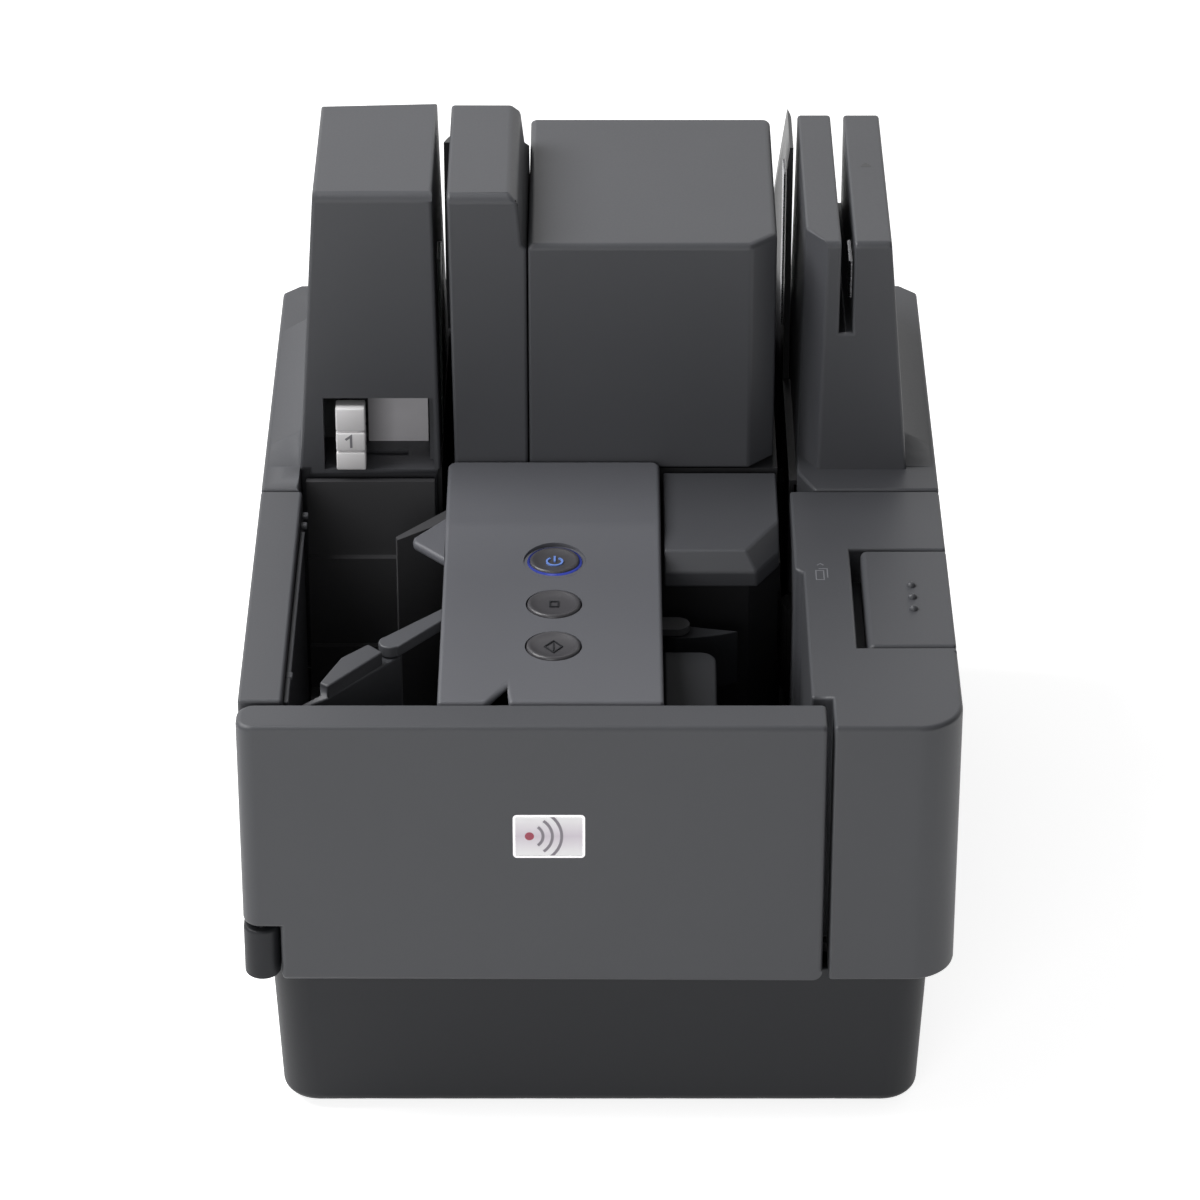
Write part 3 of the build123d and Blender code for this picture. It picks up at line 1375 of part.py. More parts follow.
# Right unit: the same construction, its tower split by the card slot.
right_shell_left = right_tower_left
with BuildPart() as right_unit:
    with BuildSketch(Plane.XY.offset(unit_bottom)):
        Polygon(
            (right_shell_left + 4.0, back(unit_front)),
            (half, back(unit_front)),
            (half, back(depth - rear_cut)),
            (half - rear_cut, back(depth)),
            (right_shell_left, back(depth)),
            (right_shell_left, back(unit_front + 8.7)),
        )
    extrude(amount=deck_height - unit_bottom)
    with BuildSketch(Plane.XY.offset(unit_bottom)):
        Polygon(
            (right_shell_left + 5.0, back(unit_front + wall)),
            (half - wall, back(unit_front + wall)),
            (half - wall, back(depth - rear_cut - 1)),
            (half - rear_cut - 1, back(depth - wall)),
            (right_shell_left + thin_wall, back(depth - wall)),
            (right_shell_left + thin_wall, back(unit_front + 9.3)),
        )
    extrude(amount=deck_height - unit_bottom - wall, mode=Mode.SUBTRACT)
    with BuildSketch(Plane.XY.offset(unit_bottom)):
        Polygon(
            (right_shell_left - 1, back(unit_front - 1)),
            (half - wall - 4, back(unit_front - 1)),
            (half - wall - 4, back(depth - wall)),
            (right_shell_left - 1, back(depth - wall)),
        )
    extrude(amount=track_floor + gap - unit_bottom, mode=Mode.SUBTRACT)
    with BuildSketch(Plane.XY.offset(deck_height)):
        Polygon(
            (right_tower_left, back(tower_setback + 9.0)),
            (right_tower_left + 5.2, back(tower_setback)),
            (right_tower_right, back(tower_setback)),
            (right_tower_right, back(right_tower_rear)),
            (right_tower_left, back(right_tower_rear)),
        )
    with BuildSketch(Plane.XY.offset(over(right_tower_height))):
        Polygon(
            (right_tower_left + right_inner_lean, back(tower_setback + 9.0)),
            (right_tower_left + right_inner_lean + 5.2, back(tower_setback)),
            (right_tower_right - right_tower_lean, back(tower_setback)),
            (right_tower_right - right_tower_lean, back(right_tower_rear)),
            (right_tower_left + right_inner_lean, back(right_tower_rear)),
        )
    loft(ruled=True)
    fillet(right_unit.faces().sort_by(Axis.Z)[-1].edges().group_by(Axis.Y)[0], 1.6)
    with BuildSketch(Plane.XZ.offset(-back(tower_setback + 1.5))):
        add(skirt_profile(1, right_tower_right, 0.2))
    with BuildSketch(Plane.XZ.offset(-back(tower_setback + 1.5 + skirt_ramp))):
        add(skirt_profile(1, right_tower_right, skirt_height))
    loft(ruled=True)
    with BuildSketch(Plane.XZ.offset(-back(tower_setback + 1.5 + skirt_ramp))):
        add(skirt_profile(1, right_tower_right, skirt_height))
    extrude(amount=-(tower_rear - tower_setback - 1.5 - skirt_ramp))
    with BuildSketch(Plane.XY.offset(over(-wall - 0.1))):
        Polygon(
            (right_tower_left + thin_wall, back(tower_setback + 9.6)),
            (right_tower_left + 6.2, back(tower_setback + thin_wall)),
            (right_tower_right - wall, back(tower_setback + thin_wall)),
            (right_tower_right - wall, back(right_tower_rear - thin_wall)),
            (right_tower_left + thin_wall, back(right_tower_rear - thin_wall)),
        )
    with BuildSketch(Plane.XY.offset(over(right_tower_height - wall))):
        Polygon(
            (right_tower_left + right_inner_lean + thin_wall, back(tower_setback + 9.6)),
            (right_tower_left + right_inner_lean + 6.2, back(tower_setback + thin_wall)),
            (right_tower_right - right_tower_lean - wall, back(tower_setback + thin_wall)),
            (right_tower_right - right_tower_lean - wall, back(right_tower_rear - thin_wall)),
            (right_tower_left + right_inner_lean + thin_wall, back(right_tower_rear - thin_wall)),
        )
    loft(ruled=True, mode=Mode.SUBTRACT)
    slot_wall = 1.2
    with BuildSketch(Plane.XZ.offset(-back(tower_setback + 1.0))):
        Polygon(
            (card_slot_left - slot_wall, over(card_slot_floor - slot_wall)),
            (card_slot_left + card_slot_width + slot_wall, over(card_slot_floor - slot_wall)),
            (card_slot_left + card_slot_width + slot_wall, over(right_tower_height - 1.7)),
            (card_slot_left - slot_wall, over(right_tower_height - 1.7)),
        )
    extrude(amount=-(right_tower_rear - tower_setback - 2.0))
    with BuildSketch(Plane.XZ.offset(-back(tower_setback - 1))):
        Polygon(
            (card_slot_left, over(card_slot_floor)),
            (card_slot_left + card_slot_width, over(card_slot_floor)),
            (card_slot_left + card_slot_width, over(right_tower_height + 1)),
            (card_slot_left, over(right_tower_height + 1)),
        )
    extrude(amount=-(right_tower_rear - tower_setback + 2), mode=Mode.SUBTRACT)
    with BuildSketch(Plane.YZ.offset(right_shell_left - 1)):
        with Locations((back(rear_roller_setback), (window_low + window_high) / 2)):
            Rectangle(pinch_window, window_high - window_low)
    extrude(amount=thin_wall + 2, mode=Mode.SUBTRACT)
    with BuildSketch(Plane.XY.offset(over(card_head_low - gap))):
        with Locations((card_slot_left + card_slot_width, back(card_head_setback))):
            Rectangle(2 * (slot_wall + 0.2), card_head_width + 2 * gap)
    extrude(amount=card_head_height + 2 * gap, mode=Mode.SUBTRACT)
    for lug in (front_lug + lug_thickness + gap, rear_lug - lug_thickness - gap):
        add(ear(1, lug))
save(right_unit.part, "right_unit")

# Hinge pins: four for the side units, two for the box cover and one for the front cover, all
# held in lugs of the fixed parts.
with BuildPart() as hinge_pins:
    for side in (-1, 1):
        for start in (front_lug, rear_lug - lug_thickness - gap):
            with BuildSketch(Plane.XZ.offset(-back(start))):
                with Locations((side * pivot_x, pivot_z)):
                    Circle(pivot_pin_radius)
            extrude(amount=-(2 * lug_thickness + gap))
    for pin_x in (box_left + 4.5, box_right - 17.3):
        with BuildSketch(Plane.YZ.offset(pin_x)):
            with Locations((back(box_hinge_setback), over(box_hinge_rise))):
                Circle(box_pin_radius)
        extrude(amount=6.8)
    with BuildSketch(Plane.XY.offset(knuckle_top - 10)):
        with Locations((hinge_x, hinge_y)):
            Circle(hinge_pin_radius)
    extrude(amount=24)
save(hinge_pins.part, "hinge_pins")

# Track liners: thin black plates on the inner walls of the side units, with windows for the
# scan module and the pinch rollers.
liner_low = track_floor + gap
liner_high = over(-0.5)
with BuildPart() as left_track_liner:
    with BuildSketch(Plane.YZ.offset(left_shell_right)):
        Polygon(
            (back(left_unit_front), liner_low),
            (back(guide_front - gap), liner_low),
            (back(guide_front - gap), liner_high),
            (back(left_unit_front), liner_high),
        )
        with Locations((back(module_setback), (track_floor + over(module_rise)) / 2)):
            Rectangle(
                module_length + 2 * gap,
                over(module_rise) - track_floor - 2 * module_foot,
                mode=Mode.SUBTRACT,
            )
        with Locations((back(rear_roller_setback), (window_low + window_high) / 2)):
            Rectangle(pinch_window, window_high - window_low, mode=Mode.SUBTRACT)
    extrude(amount=left_outer - left_shell_right)
save(left_track_liner.part, "left_track_liner")

with BuildPart() as right_track_liner:
    with BuildSketch(Plane.XZ.offset(-back(unit_front + 10))):
        Polygon(
            (right_outer, liner_low),
            (right_shell_left, liner_low),
            (right_shell_left, liner_low + 1.2),
            (right_outer + 1.2, liner_low + 1.2),
            (right_outer + 1.2, over(-4.2)),
            (right_shell_left, over(-4.2)),
            (right_shell_left, over(-3.0)),
            (right_outer, over(-3.0)),
        )
    extrude(amount=-(guide_front - gap - unit_front - 10))
    with BuildSketch(Plane.YZ.offset(right_outer - 1)):
        with Locations((back(rear_roller_setback), (window_low + window_high) / 2)):
            Rectangle(pinch_window, window_high - window_low)
    extrude(amount=3, mode=Mode.SUBTRACT)
save(right_track_liner.part, "right_track_liner")

# Window plate behind the lock lever.
with BuildPart() as window_plate:
    with BuildSketch(Plane.XZ.offset(-back(tower_setback + window_depth))):
        Polygon(
            (window_right - 1.9, over(0)),
            (window_right - 17.1, over(0)),
            (window_right - 17.1, over(window_height + 4)),
            (window_right - 1.9, over(window_height + 4)),
        )
    extrude(amount=-1.0)
save(window_plate.part, "window_plate")

# Lock lever: a bevelled block on a shank whose shoe runs in the groove of the window sill.
lever_front = tower_setback - 1.1
lever_depth = 5.2
lever_foot = 0.3
with BuildPart() as lock_lever:
    with BuildSketch(Plane.XY.offset(over(lever_foot))):
        Polygon(
            (lever_left, back(lever_front)),
            (lever_left + lever_width, back(lever_front)),
            (lever_left + lever_width, back(lever_front + lever_depth)),
            (lever_left, back(lever_front + lever_depth)),
        )
    extrude(amount=lever_height)
    chamfer(lock_lever.faces().sort_by(Axis.Y)[0].edges(), 0.9)
    with BuildSketch(Plane.XY.offset(over(lever_foot))):
        Polygon(
            (lever_left + 2, back(lever_front + lever_depth)),
            (lever_left + lever_width - 2, back(lever_front + lever_depth)),
            (lever_left + lever_width - 2, back(groove_setback + groove_width - running_clearance)),
            (lever_left + 2, back(groove_setback + groove_width - running_clearance)),
        )
    extrude(amount=3.0)
    with BuildSketch(Plane.XY.offset(over(-groove_depth + 0.1))):
        Polygon(
            (lever_left + 2, back(groove_setback + running_clearance)),
            (lever_left + lever_width - 2, back(groove_setback + running_clearance)),
            (lever_left + lever_width - 2, back(groove_setback + groove_width - running_clearance)),
            (lever_left + 2, back(groove_setback + groove_width - running_clearance)),
        )
    extrude(amount=groove_depth + lever_foot)
save(lock_lever.part, "lock_lever")

# Scan modules: two upright bars that face each other across the exit side of the track, one in
# the island and mid tower, one in the left unit, each with a glass front.
with BuildPart() as island_scan_module:
    with BuildSketch(Plane.XY.offset(track_floor)):
        with Locations((left_inner + glass_thickness, back(module_setback))):
            Rectangle(module_depth - glass_thickness, module_length, align=(Align.MIN, Align.CENTER))
    extrude(amount=over(module_rise) - track_floor)
save(island_scan_module.part, "island_scan_module")

with BuildPart() as unit_scan_module:
    with BuildSketch(Plane.XY.offset(track_floor + module_foot + gap)):
        with Locations((left_outer - glass_thickness, back(module_setback))):
            Rectangle(module_depth - glass_thickness, module_length, align=(Align.MAX, Align.CENTER))
    extrude(amount=over(module_rise) - track_floor - 2 * (module_foot + gap))
save(unit_scan_module.part, "unit_scan_module")

for name, face_x, side in (("island_scan_glass", left_inner, 1), ("unit_scan_glass", left_outer, -1)):
    with BuildPart() as glass:
        with BuildSketch(Plane.YZ.offset(face_x)):
            with Locations((back(module_setback), (track_floor + over(module_rise)) / 2)):
                Rectangle(module_length, over(module_rise) - track_floor - 2 * (module_foot + gap))
        extrude(amount=side * glass_thickness)
    save(glass.part, name)

# Magnetic ink reading head in the feed side of the island.
with BuildPart() as magnetic_head:
    with BuildSketch(Plane.XY.offset(track_floor)):
        with Locations((right_inner, back(module_setback))):
            Rectangle(8.0, head_width, align=(Align.MAX, Align.CENTER))
    extrude(amount=head_height)
    fillet(magnetic_head.edges().filter_by(Axis.Z).group_by(Axis.X)[-1], 2.0)
save(magnetic_head.part, "magnetic_head")

# Card reader head, proud of the outer wall of the card slot.
with BuildPart() as card_reader_head:
    with BuildSketch(Plane.XY.offset(over(card_head_low))):
        with Locations((card_slot_left + card_slot_width - 0.8, back(card_head_setback))):
            Rectangle(4.4, card_head_width, align=(Align.MIN, Align.CENTER))
    extrude(amount=card_head_height)
    fillet(card_reader_head.edges().filter_by(Axis.Z).group_by(Axis.X)[0], 0.7)
save(card_reader_head.part, "card_reader_head")

# Steel strip on the inner face of the rear guide's wing.
with BuildPart() as guide_strip:
    with BuildSketch(Plane.XY.offset(over(8.0))):
        add(track_bend(half_channel, guide_front))
        add(track_bend(half_channel - 0.4, guide_front - 1), mode=Mode.SUBTRACT)
        Polygon(
            (right_inner + 1.2, back(guide_front + 9.0)),
            (half, back(guide_front + 9.0)),
            (half, back(guide_front + 18.0)),
            (right_inner + 1.2, back(guide_front + 18.0)),
            mode=Mode.INTERSECT,
        )
    extrude(amount=44.0)
save(guide_strip.part, "guide_strip")

# Drive rollers: two rubber tyres and a belt pulley on each upright shaft.
shaft_low = frame_top + gap
pulley_low = frame_top + 0.6
for name, shaft_high in (
    ("feed", over(feeder_top) - 0.9),
    ("rear_right", deck_height - 1.4),
    ("rear_left", deck_height - 1.4),
    ("exit", deck_height - 1.4),
):
    with BuildPart() as roller:
        with BuildSketch(Plane.XY.offset(shaft_low)):
            with Locations(roller_place(name)):
                Circle(shaft_radius)
        extrude(amount=shaft_high - shaft_low)
        for level, radius, height in (
            (pulley_low, pulley_radius, pulley_height),
            (tyre_base, roller_radius, roller_height),
            (tyre_base + tyre_pitch, roller_radius, roller_height),
        ):
            with BuildSketch(Plane.XY.offset(level)):
                with Locations(roller_place(name)):
                    Circle(radius)
            extrude(amount=height)
    save(roller.part, f"{name}_roller")

# Pinch rollers and their brackets, one against each outer drive roller.
pinch_low = tyre_base + 7.0
pinch_height = 24.0
bracket_low = window_low + 1.0
bracket_high = window_high - 1.0
flange = 1.8
for name, side, face_x, wall_face, setback in (
    ("separation", 1, right_inner, panel_edge_x + wall, feed_setback),
    ("right_pinch", 1, right_inner, right_shell_left + thin_wall, rear_roller_setback),
    ("left_pinch", -1, left_inner, left_shell_right - thin_wall, rear_roller_setback),
):
    centre_x = face_x + side * (nip_bite + running_clearance + pinch_radius)
    plate_x = centre_x + side * (pinch_radius + 0.6)
    tip_x = face_x + side * (channel + 0.2)
    with BuildPart() as pinch_roller:
        with BuildSketch(Plane.XY.offset(bracket_low + 0.4)):
            with Locations((centre_x, back(setback))):
                Circle(arm_pin_radius)
        extrude(amount=bracket_high - bracket_low - 0.8)
        with BuildSketch(Plane.XY.offset(pinch_low)):
            with Locations((centre_x, back(setback))):
                Circle(pinch_radius)
        extrude(amount=pinch_height)
    save(pinch_roller.part, f"{name}_roller")
    with BuildPart() as pinch_bracket:
        for level in (bracket_low, bracket_high - flange):
            with BuildSketch(Plane.XY.offset(level)):
                Polygon(
                    (wall_face, back(setback - 9)),
                    (plate_x, back(setback - 9)),
                    (plate_x, back(setback + 9)),
                    (wall_face, back(setback + 9)),
                )
                Polygon(
                    (tip_x, back(setback - 3)),
                    (plate_x, back(setback - 3)),
                    (plate_x, back(setback + 3)),
                    (tip_x, back(setback + 3)),
                )
                with Locations((centre_x, back(setback))):
                    Circle(arm_pin_radius + running_clearance, mode=Mode.SUBTRACT)
            extrude(amount=flange)
        with BuildSketch(Plane.XY.offset(bracket_low)):
            Polygon(
                (plate_x, back(setback - 9)),
                (plate_x + side * flange, back(setback - 9)),
                (plate_x + side * flange, back(setback + 9)),
                (plate_x, back(setback + 9)),
            )
        extrude(amount=bracket_high - bracket_low)
    save(pinch_bracket.part, f"{name}_bracket")

# Drive motor under the main frame, its pulley, and the belt round all five pulleys.
with BuildPart() as drive_motor:
    with BuildSketch(Plane.XY.offset(band_bottom - motor_length)):
        with Locations((motor_x, motor_y)):
            Circle(motor_radius)
    extrude(amount=motor_length)
    fillet(drive_motor.edges().filter_by(GeomType.CIRCLE).sort_by(Axis.Z)[0], 2.0)
    with BuildSketch(Plane.XY.offset(band_bottom)):
        with Locations((motor_x, motor_y)):
            Circle(shaft_radius + running_clearance)
    extrude(amount=-12, mode=Mode.SUBTRACT)
save(drive_motor.part, "drive_motor")

with BuildPart() as motor_pulley:
    with BuildSketch(Plane.XY.offset(band_bottom - 11.6)):
        with Locations((motor_x, motor_y)):
            Circle(shaft_radius)
    extrude(amount=pulley_low + pulley_height - band_bottom + 11.6)
    with BuildSketch(Plane.XY.offset(pulley_low)):
        with Locations((motor_x, motor_y)):
            Circle(motor_pulley_radius)
    extrude(amount=pulley_height)
save(motor_pulley.part, "motor_pulley")


def pulley_hull(margin):
    """Plan area inside a loop that runs this far outside every pulley."""
    with BuildSketch() as area:
        for name in ("feed", "rear_right", "rear_left", "exit"):
            with Locations(roller_place(name)):
                Circle(pulley_radius + margin)
        with Locations((motor_x, motor_y)):
            Circle(motor_pulley_radius + margin)
        make_hull()
    return area.sketch


belt_clearance = 0.15
with BuildPart() as drive_belt:
    with BuildSketch(Plane.XY.offset(pulley_low + (pulley_height - belt_width) / 2)):
        add(pulley_hull(belt_clearance + belt_thickness))
        add(pulley_hull(belt_clearance), mode=Mode.SUBTRACT)
    extrude(amount=belt_width)
save(drive_belt.part, "drive_belt")

# Main board on the base's posts, with its larger components.
with BuildPart() as main_board:
    with BuildSketch(Plane.XY.offset(board_height)):
        with Locations((0, back(board_setback))):
            Rectangle(board_width, board_length)
        with Locations(*post_places):
            Circle(screw_radius + gap, mode=Mode.SUBTRACT)
    extrude(amount=board_thickness)
    with BuildSketch(Plane.XY.offset(board_height + board_thickness)):
        with Locations(*[(x, back(board_setback + y)) for x, y in ((20, 12), (-22, -12), (20, -28))]):
            Rectangle(16, 16)
        with Locations(*[(x, back(board_setback + y)) for x, y in ((40, 27), (-40, -30))]):
            Rectangle(10, 22)
    extrude(amount=2.4)
save(main_board.part, "main_board")

# Power inlet and data socket on the board's rear edge, mouths in the base's rear wall.
socket_base = board_height + board_thickness
socket_front = depth - 21.0
socket_mouth = depth - 5.6
with BuildPart() as power_jack:
    with BuildSketch(Plane.XZ.offset(-back(socket_front))):
        with Locations((jack_x, (socket_base + socket_height) / 2 + 2.4)):
            Rectangle(10.0, socket_height - socket_base + 4.8)
    extrude(amount=-8.0)
    with BuildSketch(Plane.XZ.offset(-back(socket_front))):
        with Locations((jack_x, socket_height)):
            Circle(jack_radius + 1.2)
    extrude(amount=-(socket_mouth - socket_front))
    with BuildSketch(Plane.XZ.offset(-back(socket_mouth))):
        with Locations((jack_x, socket_height)):
            Circle(jack_radius)
            Circle(1.0, mode=Mode.SUBTRACT)
    extrude(amount=10.0, mode=Mode.SUBTRACT)
save(power_jack.part, "power_jack")

with BuildPart() as data_socket:
    with BuildSketch(Plane.XZ.offset(-back(socket_front))):
        with Locations((usb_x, socket_height)):
            Rectangle(usb_width, usb_height)
    extrude(amount=-(socket_mouth - socket_front))
    with BuildSketch(Plane.XZ.offset(-back(socket_mouth))):
        with Locations((usb_x, socket_height)):
            Rectangle(usb_width - 2.4, usb_height - 2.4)
            Rectangle(5.6, 3.2, mode=Mode.SUBTRACT)
    extrude(amount=9.0, mode=Mode.SUBTRACT)
save(data_socket.part, "data_socket")

# Base screws: driven up through the base's floor into the posts.
with BuildPart() as base_screws:
    with BuildSketch(Plane.XY.offset(foot_height)):
        with Locations(*post_places):
            Circle(screw_head_radius)
    extrude(amount=screw_head_height)
    with BuildSketch(Plane.XY.offset(foot_height + screw_head_height)):
        with Locations(*post_places):
            Circle(screw_radius)
    extrude(amount=board_height - foot_height - screw_head_height - 1)
save(base_screws.part, "base_screws")
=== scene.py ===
from math import cos, pi, radians, sin
import bmesh
import bpy
from mathutils import Matrix, Vector


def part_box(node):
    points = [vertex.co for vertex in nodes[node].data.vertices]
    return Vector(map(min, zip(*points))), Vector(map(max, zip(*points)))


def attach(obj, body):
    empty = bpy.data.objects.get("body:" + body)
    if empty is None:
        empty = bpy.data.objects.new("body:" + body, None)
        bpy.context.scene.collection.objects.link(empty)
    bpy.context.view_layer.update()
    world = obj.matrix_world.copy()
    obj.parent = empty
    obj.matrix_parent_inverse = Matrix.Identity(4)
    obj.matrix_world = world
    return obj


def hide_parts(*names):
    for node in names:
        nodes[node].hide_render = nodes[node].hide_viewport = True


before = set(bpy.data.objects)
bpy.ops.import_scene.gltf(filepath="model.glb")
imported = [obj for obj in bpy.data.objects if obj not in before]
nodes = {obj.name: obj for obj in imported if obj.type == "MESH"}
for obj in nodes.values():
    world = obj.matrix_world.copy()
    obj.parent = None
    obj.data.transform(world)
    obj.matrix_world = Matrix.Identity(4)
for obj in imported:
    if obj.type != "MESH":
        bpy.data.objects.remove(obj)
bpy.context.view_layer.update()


# The room. The machine stands on a pale, seamless floor under soft studio light: a bright backdrop
# behind it, a dimmer room in front, a large panel high on the left and a weak one low in front.
def linear(colour):
    """A colour written as sRGB hex, as linear red, green, blue and alpha."""
    values = [int(colour[i:i + 2], 16) / 255 for i in (0, 2, 4)]
    return [v / 12.92 if v <= 0.04045 else ((v + 0.055) / 1.055) ** 2.4 for v in values] + [1.0]


def add(tree, kind, inputs=None, **settings):
    """A new node with its settings, and its inputs set to values or linked to other sockets."""
    node = tree.nodes.new(kind)
    for name, value in settings.items():
        setattr(node, name, value)
    for name, value in (inputs or {}).items():
        if isinstance(value, bpy.types.NodeSocket):
            tree.links.new(value, node.inputs[name])
        else:
            node.inputs[name].default_value = value
    return node


scene = bpy.context.scene
scene.view_settings.view_transform = "Standard"

world = bpy.data.worlds.new("studio")
world.use_nodes = True
scene.world = world
room = world.node_tree
room.nodes.clear()
# The strength of the light from in front and from behind, and of what gloss sees behind.
room_front = 0.12
room_back = 0.35
backdrop_back = 1.2
rays = add(room, "ShaderNodeLightPath")
towards = add(room, "ShaderNodeTexCoord")
split = add(room, "ShaderNodeSeparateXYZ", {0: towards.outputs["Generated"]})
fade = add(room, "ShaderNodeMapRange", {"Value": split.outputs["Y"], "From Min": -0.6, "From Max": 0.9,
                                        "To Min": room_front, "To Max": room_back})
sheen = add(room, "ShaderNodeMapRange", {"Value": split.outputs["Y"], "From Min": 0.2, "From Max": 0.9,
                                         "To Min": room_front, "To Max": backdrop_back})
level = add(room, "ShaderNodeMix",
            {0: rays.outputs["Is Glossy Ray"], 2: fade.outputs[0], 3: sheen.outputs[0]}, data_type="FLOAT")
soft = add(room, "ShaderNodeBackground", {"Color": (1, 1, 1, 1), "Strength": level.outputs[0]})
seen = add(room, "ShaderNodeBackground", {"Color": (1, 1, 1, 1), "Strength": 1.0})
clear = add(room, "ShaderNodeMath",
            {0: rays.outputs["Is Camera Ray"], 1: rays.outputs["Is Transmission Ray"]}, operation="ADD")
mixed = add(room, "ShaderNodeMixShader", {0: clear.outputs[0], 1: soft.outputs[0], 2: seen.outputs[0]})
add(room, "ShaderNodeOutputWorld", {"Surface": mixed.outputs[0]})

floor_mesh = bpy.data.meshes.new("floor")
floor_half = 4.0
corners = [(-floor_half, -floor_half, 0), (floor_half, -floor_half, 0), (floor_half, floor_half, 0),
           (-floor_half, floor_half, 0)]
floor_mesh.from_pydata(corners, [], [(0, 1, 2, 3)])
floor = bpy.data.objects.new("floor", floor_mesh)
scene.collection.objects.link(floor)
# White paper, lit to the white of the backdrop where it is seen, and grey where it only throws
# light back, so that the machine's lower sides stay dark.
floor_glow = 0.8
bounce = 0.3
white_paper = bpy.data.materials.new("white_paper")
white_paper.use_nodes = True
paper = white_paper.node_tree
paper.nodes.clear()
rays = add(paper, "ShaderNodeLightPath")
matt = add(paper, "ShaderNodeBsdfDiffuse", {"Color": linear("F2F2F2")})
glow = add(paper, "ShaderNodeEmission", {"Color": (1, 1, 1, 1), "Strength": floor_glow})
lit = add(paper, "ShaderNodeAddShader", {0: matt.outputs[0], 1: glow.outputs[0]})
seen = add(paper, "ShaderNodeMath",
           {0: rays.outputs["Is Camera Ray"], 1: rays.outputs["Is Glossy Ray"]}, operation="ADD")
dimmed = add(paper, "ShaderNodeBsdfDiffuse", {"Color": (bounce, bounce, bounce, 1)})
mixed = add(paper, "ShaderNodeMixShader", {0: seen.outputs[0], 1: dimmed.outputs[0], 2: lit.outputs[0]})
add(paper, "ShaderNodeOutputMaterial", {"Surface": mixed.outputs[0]})
floor_mesh.materials.append(white_paper)


def softbox(name, place, target, size, watts):
    """A square lamp at place that faces target."""
    lamp = bpy.data.lights.new(name, "AREA")
    lamp.size = size
    lamp.energy = watts
    holder = bpy.data.objects.new(name, lamp)
    holder.location = place
    holder.rotation_euler = (Vector(target) - Vector(place)).to_track_quat("-Z", "Y").to_euler()
    scene.collection.objects.link(holder)


softbox("key", (-0.48, 0.0, 0.72), (0, 0.0, 0.12), 0.5, 6.6)
softbox("front", (-0.25, -1.1, 0.35), (-0.02, -0.1, 0.06), 0.6, 3.2)

# A long lens, straight in front and 30 degrees above the level.
camera = bpy.data.objects.new("camera", bpy.data.cameras.new("camera"))
camera.data.lens = 157.98
camera.data.sensor_width = 36.0
camera.data.clip_start = 0.05
camera.location = (0.0, -1.152, 0.7618)
camera.rotation_euler = (radians(59.53), 0, 0)
scene.collection.objects.link(camera)
scene.camera = camera


# The base tub on its feet. The tub is a deep ABS moulding, a shade darker than the shells above,
# with the matt grain of a spark-eroded tool; rubber feet are glued under it and screws go up from below.
def moulded(name, colour, roughness=0.50, grain=0.55, depth=0.012, cloud=0.06, shine=0.5):
    """An injection-moulded plastic: its colour, its gloss, and the grain's width and depth in mm.
    The grain of such a skin is about 0.2 mm wide; it is drawn coarser so that it shows."""
    material = bpy.data.materials.new(name)
    material.use_nodes = True
    tree = material.node_tree
    tree.nodes.clear()
    place = add(tree, "ShaderNodeTexCoord")
    # The pigment drifts over some 36 mm, as the melt flowed.
    pigment = add(tree, "ShaderNodeTexNoise",
                  {"Vector": place.outputs["Object"], "Scale": 28.0, "Detail": 3.0})
    shade = [c * (1 - cloud) for c in linear(colour)[:3]] + [1.0]
    light = [c * (1 + cloud) for c in linear(colour)[:3]] + [1.0]
    # A Mix node holds a set of sockets for each data type, and the colour pair is 6 and 7.
    tint = add(tree, "ShaderNodeMix", {0: pigment.outputs["Fac"], 6: shade, 7: light}, data_type="RGBA")
    eroded = add(tree, "ShaderNodeTexNoise", {"Vector": place.outputs["Object"], "Scale": 1000.0 / grain,
                                              "Detail": 2.0, "Roughness": 0.6})
    relief = add(tree, "ShaderNodeBump",
                 {"Height": eroded.outputs["Fac"], "Strength": 0.35, "Distance": depth / 1000})
    gloss = add(tree, "ShaderNodeMapRange",
                {"Value": eroded.outputs["Fac"], "To Min": roughness - 0.06, "To Max": roughness + 0.06})
    skin = add(tree, "ShaderNodeBsdfPrincipled",
               {"Base Color": tint.outputs[2], "Roughness": gloss.outputs[0], "Normal": relief.outputs[0],
                "IOR": 1.53, "Specular IOR Level": shine})
    add(tree, "ShaderNodeOutputMaterial", {"Surface": skin.outputs[0]})
    return material


def finish_node(name, material):
    """A CAD piece whose shape is right keeps it and takes this material."""
    mesh = nodes[name].data
    mesh.materials.clear()
    mesh.materials.append(material)


def piece(name, mesh, material, body, stands_for=()):
    """A finished piece, with the body it moves with, and the CAD pieces it stands for."""
    thing = bpy.data.objects.new(name, mesh)
    mesh.materials.clear()
    mesh.materials.append(material)
    scene.collection.objects.link(thing)
    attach(thing, body)
    if stands_for:
        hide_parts(*stands_for)


def smoothed(mesh):
    """Smooth shading, with the edges that turn by more than 35 degrees kept sharp."""
    for face in mesh.polygons:
        face.use_smooth = True
    mesh.set_sharp_from_angle(angle=radians(35))
    return mesh


